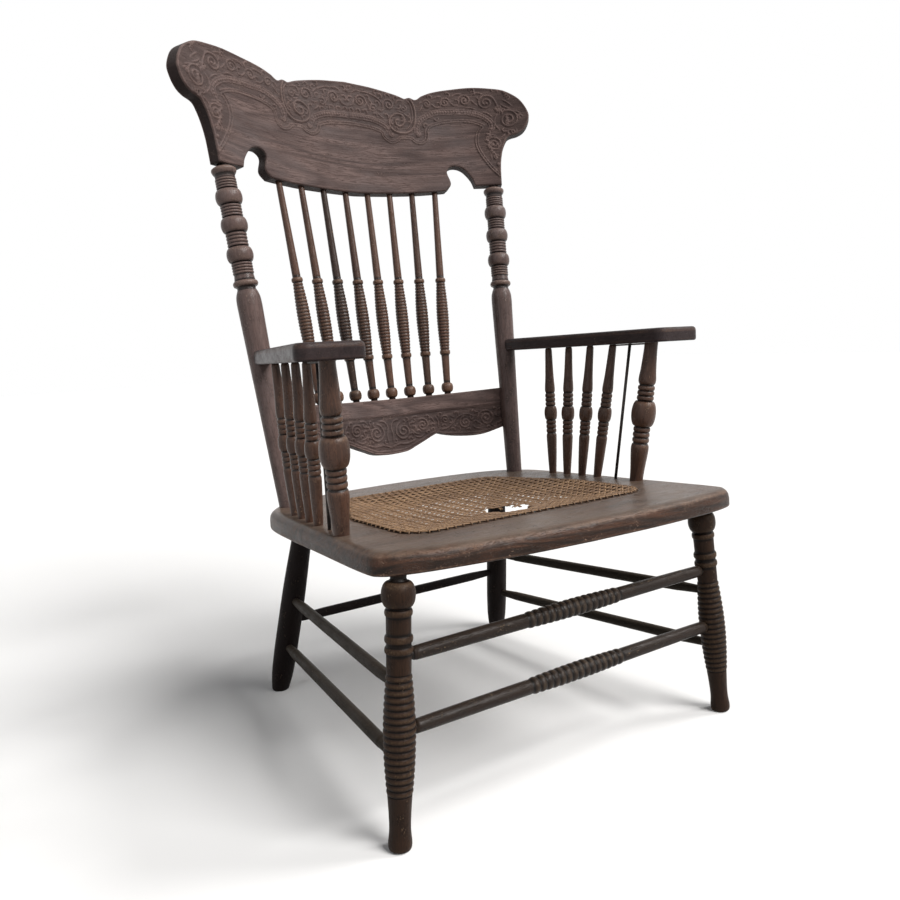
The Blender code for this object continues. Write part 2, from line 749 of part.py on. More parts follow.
def low_end(holes, start, end, depth, radius, sides):
    """Notes the hole for a piece's lower end, which is sunk by a depth below its start."""
    holes.append((along(start, end, -depth - GAP), along(start, end, 0.010), radius + GAP, sides))


def high_end(holes, start, end, depth, radius, sides):
    """Notes the hole for a piece's upper end, which is sunk by a depth past its end."""
    length = (end - start).length
    holes.append((
        along(start, end, length - 0.010), along(start, end, length + depth + GAP), radius + GAP, sides))


# Back spindles.
def spindle_profile(length):
    """The turned shape of a back spindle over its visible length."""
    half_ring = 0.0035
    points = [(-RAIL_SOCKET, SPINDLE_FOOT_R), (0.0035, SPINDLE_FOOT_R)]
    points += ball(SPINDLE_BALL, 0.0088, SPINDLE_NECK_R, SPINDLE_BALL_R)
    points += [(SPINDLE_LOW_RING - 0.020, SPINDLE_NECK_R)]
    points += [(SPINDLE_LOW_RING - half_ring, SPINDLE_RING_R - 0.002)]
    points += [(SPINDLE_LOW_RING, SPINDLE_RING_R)]
    points += ribs(
        SPINDLE_LOW_RING + half_ring, SPINDLE_HIGH_RING - half_ring, SPINDLE_RIBS,
        SPINDLE_RING_R - 0.001, SPINDLE_RIB_R, SPINDLE_RING_R - 0.0015, 0.0011)
    points += [(SPINDLE_HIGH_RING, SPINDLE_RING_R), (SPINDLE_HIGH_RING + half_ring, SPINDLE_RING_R - 0.002)]
    points += [(SPINDLE_HIGH_RING + 0.008, SPINDLE_NECK_R + 0.0004)]
    points += [(length - 0.008, SPINDLE_TOP_R), (length + CREST_SOCKET, SPINDLE_TOP_R)]
    return tidy_profile(points)


for number in range(SPINDLE_COUNT):
    offset = number - (SPINDLE_COUNT - 1) / 2
    low = back_point(offset * SPINDLE_PITCH_LOW, RAIL_TOP)
    high = back_point(offset * SPINDLE_PITCH_HIGH, 0.0025)
    length = (high - low).length
    turned(f"back_spindle_{number + 1}", spindle_profile(length), THIN_SIDES, low, high, RED_OAK)
    low_end(rail_ends, low, high, RAIL_SOCKET, SPINDLE_FOOT_R, THIN_SIDES)
    high_end(crest_ends, low, high, CREST_SOCKET, SPINDLE_TOP_R, THIN_SIDES)


# Back posts.
def post_profile(length):
    """A tapered shaft, then rings and balls up to the collar under the crest."""
    collar = length - POST_COLLAR_DROP
    points = [(-SEAT_SOCKET, POST_BASE_R), (0.0, POST_BASE_R), (POST_SHOULDER, POST_SHOULDER_R)]
    points += [(POST_SHOULDER + 0.012, POST_SHOULDER_R - 0.002)]
    points += [(POST_SHOULDER + 0.018, POST_NECK_R - 0.001)]
    points += [(POST_SHOULDER + 0.024, POST_NECK_R), (POST_SHOULDER + 0.030, POST_RING_R + 0.0006)]
    edge_height = POST_SHOULDER + 0.036
    for share in POST_BALL_SHARES:
        centre = POST_SHOULDER + share * (collar - POST_SHOULDER)
        points += rings(edge_height, centre - POST_BALL_HALF, 3, POST_NECK_R, POST_RING_R - 0.0006)
        points += ball(centre, POST_BALL_HALF, POST_NECK_R, POST_BALL_R)
        edge_height = centre + POST_BALL_HALF
    points += rings(edge_height, collar - 0.006, 3, POST_NECK_R, POST_RING_R - 0.001)
    points += [(collar, POST_RING_R + 0.001), (collar + 0.005, POST_NECK_R)]
    points += [(collar + 0.009, POST_TOP_R), (length + CREST_SOCKET, POST_TOP_R)]
    return tidy_profile(points)


for side, word in ((-1, "left"), (1, "right")):
    low, high = post_axis[side]
    length = (high - low).length
    turned(f"back_post_{word}", post_profile(length), THICK_SIDES, low, high, RED_OAK)
    low_end(seat_ends, low, high, SEAT_SOCKET, POST_BASE_R, THICK_SIDES)
    high_end(crest_ends, low, high, CREST_SOCKET, POST_TOP_R, THICK_SIDES)


def post_sleeve(side):
    """The post's shaft with the clearance added, to shape what butts against it."""
    low, high = post_axis[side]
    profile = [(0.0, POST_BASE_R + GAP), (POST_SHOULDER, POST_SHOULDER_R + GAP)]
    sleeve = as_cutter(f"post_sleeve_{side}", profile_mesh("post_sleeve", profile), axis_matrix(low, high))
    turn(sleeve, THICK_SIDES)
    return sleeve


sleeves = {side: post_sleeve(side) for side in (-1, 1)}


# Arms: a board that widens towards the front and is hollowed at the rear to fit the post.
def arm_outline(side):
    """The arm from above, with rounded front corners."""
    low, high = post_axis[side]
    joint = at_height(low, high, ARM_UNDER)
    joint.x = abs(joint.x)
    post_x, post_y = ARM_POST_TOP
    front_y = post_y - ARM_FRONT_REACH
    corners = [
        Vector((joint.x - ARM_REAR_IN, joint.y, 0.0)), Vector((post_x - ARM_FRONT_IN, front_y, 0.0)),
        Vector((post_x + ARM_FRONT_OUT, front_y, 0.0)), Vector((joint.x + ARM_REAR_OUT, joint.y, 0.0)),
    ]
    front = rounded(corners, ARM_CORNER)[4:12]
    outline = [corners[0]] + front + [corners[3]]
    return [(p.x * side, p.y) for p in outline]


arms = {}
for side, word in ((-1, "left"), (1, "right")):
    low, high = post_axis[side]
    tilt = Matrix.Translation((0, 0, ARM_UNDER)) @ Matrix.Rotation(-ARM_SLOPE, 4, "X")
    blank = place(
        f"arm_{word}_blank", board_mesh([arm_outline(side)], ARM_THICKNESS), GREY_OAK,
        tilt @ Matrix.Translation((0, 0, ARM_THICKNESS / 2)))
    soft = blank.modifiers.new("rounded_edge", "BEVEL")
    soft.width = ARM_ROUNDING
    soft.segments = 2
    soft.limit_method = "ANGLE"
    soft.angle_limit = math.radians(60)
    combine(blank, sleeves[side], "DIFFERENCE")
    joint = at_height(low, high, ARM_UNDER + ARM_THICKNESS / 2)
    dowel_end = joint + Vector((0, 0.004, 0))
    dowel_start = dowel_end - Vector((0, ARM_DOWEL_LENGTH, 0))
    dowel = plugs(f"arm_dowel_{word}", [(dowel_start, dowel_end, ARM_DOWEL_R, THIN_SIDES)])
    combine(blank, dowel, "UNION")
    hole_end = dowel_end + Vector((0, GAP, 0))
    post_ends[side].append((dowel_start, hole_end, ARM_DOWEL_R + GAP, THIN_SIDES))
    arms[side] = blank

# Lower rail's ends: hollowed to the post, with a flat tenon that enters it.
for side, word in ((-1, "left"), (1, "right")):
    low, high = post_axis[side]
    combine(rail, sleeves[side], "DIFFERENCE")
    swing = math.asin(rail_half / BACK_BEND) * side
    end_frame = BACK @ Matrix.Translation((side * rail_half, -sag(rail_half), RAIL_TOP - RAIL_TENON_DROP))
    end_frame = end_frame @ Matrix.Rotation(-swing, 4, "Z")
    length = 2 * RAIL_TENON_LENGTH + 2 * POST_BASE_R
    shift = Matrix.Translation((side * (0.004 - length / 2), 0, 0))
    tenon = as_cutter(
        f"rail_tenon_{word}", box_mesh("rail_tenon", length, RAIL_TENON_THICKNESS, RAIL_TENON_HEIGHT),
        end_frame @ shift)
    combine(rail, tenon, "UNION")
    mortise = as_cutter(
        f"rail_mortise_{word}",
        box_mesh(
            "rail_mortise", length + 2 * GAP, RAIL_TENON_THICKNESS + 2 * GAP, RAIL_TENON_HEIGHT + 2 * GAP),
        end_frame @ shift)
    post = chair.objects[f"back_post_{word}"]
    combine(post, mortise, "DIFFERENCE")
    combine(post, plugs(f"arm_dowel_hole_{word}", post_ends[side]), "DIFFERENCE")


# Arm posts, arm spindles and iron rods.
def arm_post_profile(length):
    """A shaft with a ball between two sets of rings."""
    ring_low = ARM_POST_BALL - 0.048
    ring_high = ARM_POST_BALL + 0.046
    points = [(-SEAT_SOCKET, ARM_POST_BASE_R), (0.0, ARM_POST_BASE_R)]
    points += [(ring_low - 0.010, ARM_POST_SHOULDER_R), (ring_low - 0.003, ARM_POST_RING_R - 0.0005)]
    points += rings(ring_low, ARM_POST_BALL - 0.0215, 3, ARM_POST_RING_R - 0.0022, ARM_POST_RING_R)
    points += ball(ARM_POST_BALL, 0.0205, ARM_POST_RING_R - 0.001, ARM_POST_BALL_R)
    points += rings(ARM_POST_BALL + 0.0215, ring_high, 3, ARM_POST_RING_R - 0.0022, ARM_POST_RING_R)
    points += [(ring_high + 0.004, ARM_POST_RING_R + 0.0004), (ring_high + 0.016, ARM_POST_RING_R - 0.0002)]
    points += [(length - 0.006, ARM_POST_TOP_R), (length + ARM_SOCKET, ARM_POST_TOP_R)]
    return tidy_profile(points)


def arm_spindle_profile(length):
    """A thinner version of the arm post."""
    ring_low = ARM_SPINDLE_BALL - 0.036
    ring_high = ARM_SPINDLE_BALL + 0.036
    points = [(-SEAT_SOCKET, ARM_SPINDLE_BASE_R), (0.0, ARM_SPINDLE_BASE_R)]
    points += [(ring_low - 0.004, ARM_SPINDLE_SHOULDER_R)]
    valley = ARM_SPINDLE_SHOULDER_R - 0.0018
    points += rings(ring_low, ARM_SPINDLE_BALL - 0.0105, 3, valley, ARM_SPINDLE_SHOULDER_R)
    points += [(ARM_SPINDLE_BALL - 0.004, ARM_SPINDLE_BALL_R)]
    points += [(ARM_SPINDLE_BALL + 0.004, ARM_SPINDLE_BALL_R)]
    points += rings(ARM_SPINDLE_BALL + 0.0105, ring_high, 3, valley, ARM_SPINDLE_SHOULDER_R)
    points += [(ring_high + 0.004, ARM_SPINDLE_SHOULDER_R), (length - 0.006, ARM_SPINDLE_TOP_R)]
    points += [(length + ARM_SOCKET, ARM_SPINDLE_TOP_R)]
    return tidy_profile(points)


def upright(name, profile_of, base, top, radii, sides, side, material):
    """A turned piece that stands in the seat and carries the arm."""
    low = mirrored(seat_point(*base), side)
    high = mirrored(arm_point(*top), side)
    length = (high - low).length
    piece = turned(name, profile_of(length), sides, low, high, material)
    low_end(seat_ends, low, high, SEAT_SOCKET, radii[0], sides)
    high_end(arm_ends[side], low, high, ARM_SOCKET, radii[1], sides)
    return piece


for side, word in ((-1, "left"), (1, "right")):
    upright(
        f"arm_post_{word}", arm_post_profile, ARM_POST_BASE, ARM_POST_TOP,
        (ARM_POST_BASE_R, ARM_POST_TOP_R), THICK_SIDES, side, RED_OAK)
    for number in range(ARM_SPINDLE_COUNT):
        base = [start + number * step for start, step in zip(ARM_SPINDLE_BASE, ARM_SPINDLE_BASE_STEP)]
        top = [start + number * step for start, step in zip(ARM_SPINDLE_TOP, ARM_SPINDLE_TOP_STEP)]
        upright(
            f"arm_spindle_{word}_{number + 1}", arm_spindle_profile, base, top,
            (ARM_SPINDLE_BASE_R, ARM_SPINDLE_TOP_R), THIN_SIDES, side, RED_OAK)

    def rod_profile(length):
        return [(-SEAT_SOCKET, ROD_R), (length + ARM_SOCKET, ROD_R)]

    upright(f"arm_rod_{word}", rod_profile, ROD_BASE, ROD_TOP, (ROD_R, ROD_R), THIN_SIDES, side, IRON)
    low = mirrored(seat_point(*ROD_BASE), side)
    high = mirrored(arm_point(*ROD_TOP), side)
    length = (high - low).length
    heading = math.atan2(ARM_POST_TOP[0] - ROD_TOP[0], ROD_TOP[1] - ARM_POST_TOP[1]) * side
    frame = Matrix.Translation(mirrored(arm_point(*ROD_TOP, above=-GAP - PLATE_THICKNESS / 2), side))
    frame = frame @ Matrix.Rotation(-ARM_SLOPE, 4, "X") @ Matrix.Rotation(heading, 4, "Z")
    plate = place(
        f"rod_plate_{word}", box_mesh("rod_plate", PLATE_WIDTH, PLATE_LENGTH, PLATE_THICKNESS), IRON, frame)
    through = plugs(
        f"plate_hole_{word}",
        [(along(low, high, length - 0.012), along(low, high, length + 0.006), ROD_R + GAP, THIN_SIDES)])
    combine(plate, through, "DIFFERENCE")


# Legs.
def front_leg_profile(length):
    """A ball, rings, a ribbed swelling and a small flared foot, measured up from the floor."""
    points = [(-0.012, FRONT_FOOT_R), (0.003, FRONT_FOOT_R), (0.009, FRONT_FOOT_R - 0.0004)]
    points += [(0.025, FRONT_ANKLE_R), (0.060, FRONT_SHAFT_R - 0.0006)]
    points += ribs(
        0.067, 0.211, FRONT_RIBS, FRONT_SHAFT_R + 0.0004, FRONT_RIB_R, FRONT_SHAFT_R + 0.0002, 0.0016)
    points += [(0.214, FRONT_SHAFT_R), (0.2345, FRONT_SHAFT_R)]
    points += rings(0.2350, 0.2575, 2, FRONT_SHAFT_R - 0.001, FRONT_RING_R + 0.0004)
    points += [(0.2590, FRONT_SHAFT_R), (0.2780, FRONT_SHAFT_R)]
    points += [(0.2825, FRONT_RING_R), (0.2870, FRONT_SHAFT_R - 0.002)]
    points += ball(0.3035, 0.0145, FRONT_NECK_R + 0.002, FRONT_BALL_R)
    points += [(0.3195, FRONT_NECK_R), (length + LEG_SOCKET, FRONT_NECK_R)]
    return tidy_profile(points)


def back_leg_profile(length):
    """A plain leg, thickest below the middle."""
    return [
        (-0.012, BACK_FOOT_R), (0.002, BACK_FOOT_R), (0.030, (BACK_FOOT_R + BACK_MID_R) / 2 + 0.0008),
        (0.095, BACK_MID_R), (0.190, BACK_MID_R - 0.0004), (0.270, (BACK_TOP_R + BACK_MID_R) / 2 - 0.0008),
        (length, BACK_TOP_R), (length + LEG_SOCKET, BACK_TOP_R),
    ]


floor = as_cutter("floor", box_mesh("floor", 1.2, 1.2, 0.1), Matrix.Translation((0, 0, -0.05)))
leg_axis = {}
for side, word in ((-1, "left"), (1, "right")):
    for place_word, foot_xy, top_xy, profile_of, top_radius, material in (
        ("front", FRONT_FOOT, FRONT_TOP, front_leg_profile, FRONT_NECK_R, DARK_OAK),
        ("back", BACK_FOOT, BACK_TOP, back_leg_profile, BACK_TOP_R, BLACK_OAK),
    ):
        foot = mirrored(Vector((foot_xy[0], foot_xy[1], 0.0)), side)
        top = mirrored(seat_point(top_xy[0], top_xy[1], SEAT_THICKNESS), side)
        length = (top - foot).length
        name = f"{place_word}_leg_{word}"
        leg = turned(name, profile_of(length), THICK_SIDES, foot, top, material)
        combine(leg, floor, "DIFFERENCE")
        high_end(seat_ends, foot, top, LEG_SOCKET, top_radius, THICK_SIDES)
        leg_axis[name] = (foot, top)
        leg_ends[name] = []


# Stretchers.
def plain_profile(length):
    """A plain rung, a little thinner at its ends."""
    ease = min(0.05, length / 4)
    return [
        (STRETCHER_STOP, STRETCHER_END_R), (0.024, STRETCHER_END_R), (0.026 + ease, SIDE_STRETCHER_R),
        (length - 0.026 - ease, SIDE_STRETCHER_R), (length - 0.024, STRETCHER_END_R),
        (length - STRETCHER_STOP, STRETCHER_END_R),
    ]


def ribbed_profile(length):
    """A rung with a ribbed swelling in its middle."""
    middle = length / 2
    reach = FRONT_STRETCHER_RIB_HALF
    points = [(STRETCHER_STOP, STRETCHER_END_R), (0.024, STRETCHER_END_R), (0.050, FRONT_STRETCHER_R)]
    points += ribs(
        middle - reach, middle + reach, FRONT_STRETCHER_RIBS, FRONT_STRETCHER_R + 0.0008,
        FRONT_STRETCHER_RIB_R, FRONT_STRETCHER_R + 0.0008, 0.0014)
    points += [(length - 0.050, FRONT_STRETCHER_R), (length - 0.024, STRETCHER_END_R)]
    points += [(length - STRETCHER_STOP, STRETCHER_END_R)]
    return tidy_profile(points)


def stretcher(name, leg_a, height_a, leg_b, height_b, profile_of, material):
    """A rung between two legs, whose ends sit in round holes."""
    start = at_height(*leg_axis[leg_a], height_a)
    end = at_height(*leg_axis[leg_b], height_b)
    length = (end - start).length
    turned(name, profile_of(length), THIN_SIDES, start, end, material)
    reach = 0.030
    for leg, first, last in (
        (leg_a, STRETCHER_STOP - GAP, reach), (leg_b, length - reach, length - STRETCHER_STOP + GAP),
    ):
        hole = (along(start, end, first), along(start, end, last), STRETCHER_END_R + GAP, THIN_SIDES)
        leg_ends[leg].append(hole)


stretcher(
    "front_stretcher_upper", "front_leg_left", FRONT_UPPER_Z, "front_leg_right", FRONT_UPPER_Z,
    ribbed_profile, DARK_OAK)
stretcher(
    "front_stretcher_lower", "front_leg_left", FRONT_LOWER_Z, "front_leg_right", FRONT_LOWER_Z,
    ribbed_profile, DARK_OAK)
stretcher(
    "back_stretcher", "back_leg_left", BACK_STRETCHER_Z, "back_leg_right", BACK_STRETCHER_Z,
    plain_profile, BLACK_OAK)
for word in ("left", "right"):
    stretcher(
        f"side_stretcher_{word}_upper", f"front_leg_{word}", SIDE_UPPER_FRONT_Z, f"back_leg_{word}",
        SIDE_UPPER_BACK_Z, plain_profile, RUNG_OAK)
    stretcher(
        f"side_stretcher_{word}_lower", f"front_leg_{word}", SIDE_LOWER_FRONT_Z, f"back_leg_{word}",
        SIDE_LOWER_BACK_Z, plain_profile, RUNG_OAK)

# All the holes.
combine(seat, plugs("seat_holes", seat_ends), "DIFFERENCE")
combine(crest, plugs("crest_holes", crest_ends), "DIFFERENCE")
combine(rail, plugs("rail_holes", rail_ends), "DIFFERENCE")
for name, ends in leg_ends.items():
    combine(chair.objects[name], plugs(f"{name}_holes", ends), "DIFFERENCE")
for side, word in ((-1, "left"), (1, "right")):
    combine(arms[side], plugs(f"arm_{word}_holes", arm_ends[side]), "DIFFERENCE")
    arms[side].name = f"arm_{word}"
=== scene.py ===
"""The pressed-back armchair's looks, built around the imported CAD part.

Metres, +Z up; the chair faces -Y. Left is -X and right is +X, as seen from the front.
"""

import math

import bpy
import numpy as np
from mathutils import Matrix, Vector
from mathutils.geometry import delaunay_2d_cdt


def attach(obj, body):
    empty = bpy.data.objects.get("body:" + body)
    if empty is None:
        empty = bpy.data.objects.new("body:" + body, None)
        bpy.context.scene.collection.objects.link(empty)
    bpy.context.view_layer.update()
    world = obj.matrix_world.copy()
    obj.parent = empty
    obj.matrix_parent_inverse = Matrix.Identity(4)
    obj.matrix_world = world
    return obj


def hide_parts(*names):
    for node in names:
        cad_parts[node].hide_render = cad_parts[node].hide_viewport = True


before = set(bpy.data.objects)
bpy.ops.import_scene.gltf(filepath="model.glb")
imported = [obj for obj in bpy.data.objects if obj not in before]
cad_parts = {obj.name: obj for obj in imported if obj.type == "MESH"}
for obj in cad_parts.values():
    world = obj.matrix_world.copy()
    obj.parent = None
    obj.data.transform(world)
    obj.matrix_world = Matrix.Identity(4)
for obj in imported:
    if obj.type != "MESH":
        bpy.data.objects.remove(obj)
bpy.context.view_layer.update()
SEED = 41
chance = np.random.default_rng(SEED)

# The part's own sizes.
SEAT_TOP = 0.3433
SEAT_SLOPE = math.radians(2.119)
SEAT_THICKNESS = 0.028
SEAT_FRONT_Y = -0.329
SEAT_BOW = 0.032
SEAT_HALF_FRONT = 0.291
SEAT_HALF_MIDDLE = 0.286
SEAT_CORNER = 0.034
SEAT_SKEW = 0.012
SEAT_RIGHT_REACH = 0.012
SEAT_BACK_Y = 0.226
SEAT_SHOULDER_Y = 0.093
CANE_FRONT_Y = -0.224
CANE_BACK_Y = 0.120
CANE_HALF_FRONT = 0.213
CANE_HALF_BACK = 0.150
CANE_CORNER = 0.045
CANE_LAP = 0.011
TEAR_X = 0.006
TEAR_Y = -0.148
LEAN = math.radians(9.0)
CREST_Y = 0.2882
CREST_Z = 0.8630
BACK_BEND = 0.560
CREST_THICKNESS = 0.022
RAIL_TOP = -0.3795
RAIL_THICKNESS = 0.020
ARM_UNDER = 0.5702
ARM_SLOPE = math.radians(1.146)
ARM_THICKNESS = 0.022

# How the weave hangs, and how it is drilled and laid.
SAG_DEPTH = 0.0110
SAG_REACH = 0.12
TEAR_BACK = 0.009
HANGING_BACK = 0.004
HANGING_HALF = (0.042, 0.036)
PITCH = 0.0127
DRILL_INSET = 0.0040
DRILL_RADIUS = 0.0024
STRAND_WIDTH = 0.0025
DIAGONAL_WIDTH = 0.0026
PAIR_SPREAD = 0.00145
STRAND_STEP = 0.0028

# The crest look's sides, told apart from its face by this value of "raised", which darkens them as painted
# shade.
CREST_SIDE_SHADE = -0.45

BACK = Matrix.Translation((0, CREST_Y, CREST_Z)) @ Matrix.Rotation(-LEAN, 4, "X")


def sag(x):
    return BACK_BEND - math.sqrt(BACK_BEND ** 2 - x ** 2)


def back_point(x, height):
    return BACK @ Vector((x, -sag(x), height))


def seat_point(x, y, below=0.0):
    return Vector((x, y, SEAT_TOP - math.tan(SEAT_SLOPE) * y - below))


def arm_point(x, y, above=0.0):
    return Vector((x, y, ARM_UNDER - math.tan(ARM_SLOPE) * y + above))


def mirrored(point, side):
    return Vector((point.x * side, point.y, point.z))


def at_height(foot, top, height):
    return foot + (top - foot) * ((height - foot.z) / (top.z - foot.z))


def smooth(points, steps, closed=False):
    """Points of a curve that passes through the given flat points."""
    pts = np.array(points, float)
    n = len(pts)
    spans = n if closed else n - 1
    out = []
    for i in range(spans):
        b, c = pts[i], pts[(i + 1) % n]
        a = pts[i - 1] if closed or i > 0 else b
        d = pts[(i + 2) % n] if closed or i + 2 < n else c
        for k in range(steps):
            t = k / steps
            out.append((2 * b + (c - a) * t + (2 * a - 5 * b + 4 * c - d) * t * t
                + (3 * b - a - 3 * c + d) * t ** 3) / 2)
    if not closed:
        out.append(pts[-1])
    return np.array(out)


def resample(points, step, closed=False):
    """The same line with even steps."""
    pts = np.array(points, float)
    if closed:
        pts = np.vstack([pts, pts[:1]])
    lengths = np.r_[0, np.cumsum(np.linalg.norm(np.diff(pts, axis=0), axis=1))]
    count = max(2, int(round(lengths[-1] / step)) + 1)
    at = np.linspace(0, lengths[-1], count)
    out = np.stack([np.interp(at, lengths, pts[:, k]) for k in range(pts.shape[1])], axis=1)
    return out[:-1] if closed else out


def add_mesh(name, verts, faces, material, attributes, smooth_shade=True):
    """Makes one piece with its point attributes and lets it ride on the chair."""
    mesh = bpy.data.meshes.new(name)
    mesh.from_pydata(np.asarray(verts, float).tolist(), [], faces)
    mesh.update()
    mesh.validate()
    if smooth_shade:
        mesh.polygons.foreach_set("use_smooth", [True] * len(mesh.polygons))
    for key, values in attributes.items():
        values = np.asarray(values, np.float32)
        kind = "FLOAT_VECTOR" if values.ndim == 2 else "FLOAT"
        layer = mesh.attributes.new(key, kind, "POINT")
        layer.data.foreach_set("vector" if kind == "FLOAT_VECTOR" else "value", values.ravel())
    piece = bpy.data.objects.new(name, mesh)
    bpy.context.scene.collection.objects.link(piece)
    mesh.materials.append(material)
    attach(piece, "root")
    return piece


# ---------------------------------------------------------------- materials
class Nodes:
    """Short calls that build one material's nodes."""

    def __init__(self, name):
        self.material = bpy.data.materials.new(name)
        self.material.use_nodes = True
        self.tree = self.material.node_tree
        self.shader = self.tree.nodes["Principled BSDF"]

    def put(self, socket, value):
        if isinstance(value, bpy.types.NodeSocket):
            self.tree.links.new(value, socket)
        elif isinstance(value, (tuple, list)) and len(value) == 3 and len(socket.default_value) == 4:
            socket.default_value = (*value, 1.0)
        else:
            socket.default_value = value

    def add(self, kind, **inputs):
        node = self.tree.nodes.new(kind)
        for key, value in inputs.items():
            self.put(node.inputs[key.replace("_", " ")], value)
        return node

    def math(self, operation, a, b=0.0, clamp=False):
        node = self.tree.nodes.new("ShaderNodeMath")
        node.operation = operation
        node.use_clamp = clamp
        self.put(node.inputs[0], a)
        self.put(node.inputs[1], b)
        return node.outputs[0]

    def span(self, value, low, high, to_low=0.0, to_high=1.0):
        node = self.tree.nodes.new("ShaderNodeMapRange")
        node.clamp = True
        for key, item in (("Value", value), ("From Min", low), ("From Max", high), ("To Min", to_low),
                ("To Max", to_high)):
            self.put(node.inputs[key], item)
        return node.outputs[0]

    def mix(self, share, a, b, blend="MIX"):
        node = self.tree.nodes.new("ShaderNodeMix")
        node.data_type = "RGBA"
        node.blend_type = blend
        self.put(node.inputs[0], share)
        self.put(node.inputs[6], a)
        self.put(node.inputs[7], b)
        return node.outputs[2]

    def mixed(self, a, b):
        """Two fifths of one value and three fifths of another."""
        return self.math("ADD", self.math("MULTIPLY", a, 0.4), self.math("MULTIPLY", b, 0.6))

    def stretched(self, vector, scale, shift=(0.0, 0.0, 0.0)):
        node = self.tree.nodes.new("ShaderNodeMapping")
        self.put(node.inputs["Vector"], vector)
        node.inputs["Location"].default_value = shift
        node.inputs["Scale"].default_value = scale
        return node.outputs[0]

    def noise(self, vector, scale, detail=3.0, roughness=0.55, distortion=0.0):
        node = self.add("ShaderNodeTexNoise", Vector=vector, Scale=scale, Detail=detail, Roughness=roughness,
            Distortion=distortion)
        return node.outputs["Fac"]

    def attribute(self, name, output="Fac"):
        node = self.tree.nodes.new("ShaderNodeAttribute")
        node.attribute_name = name
        return node.outputs[output]


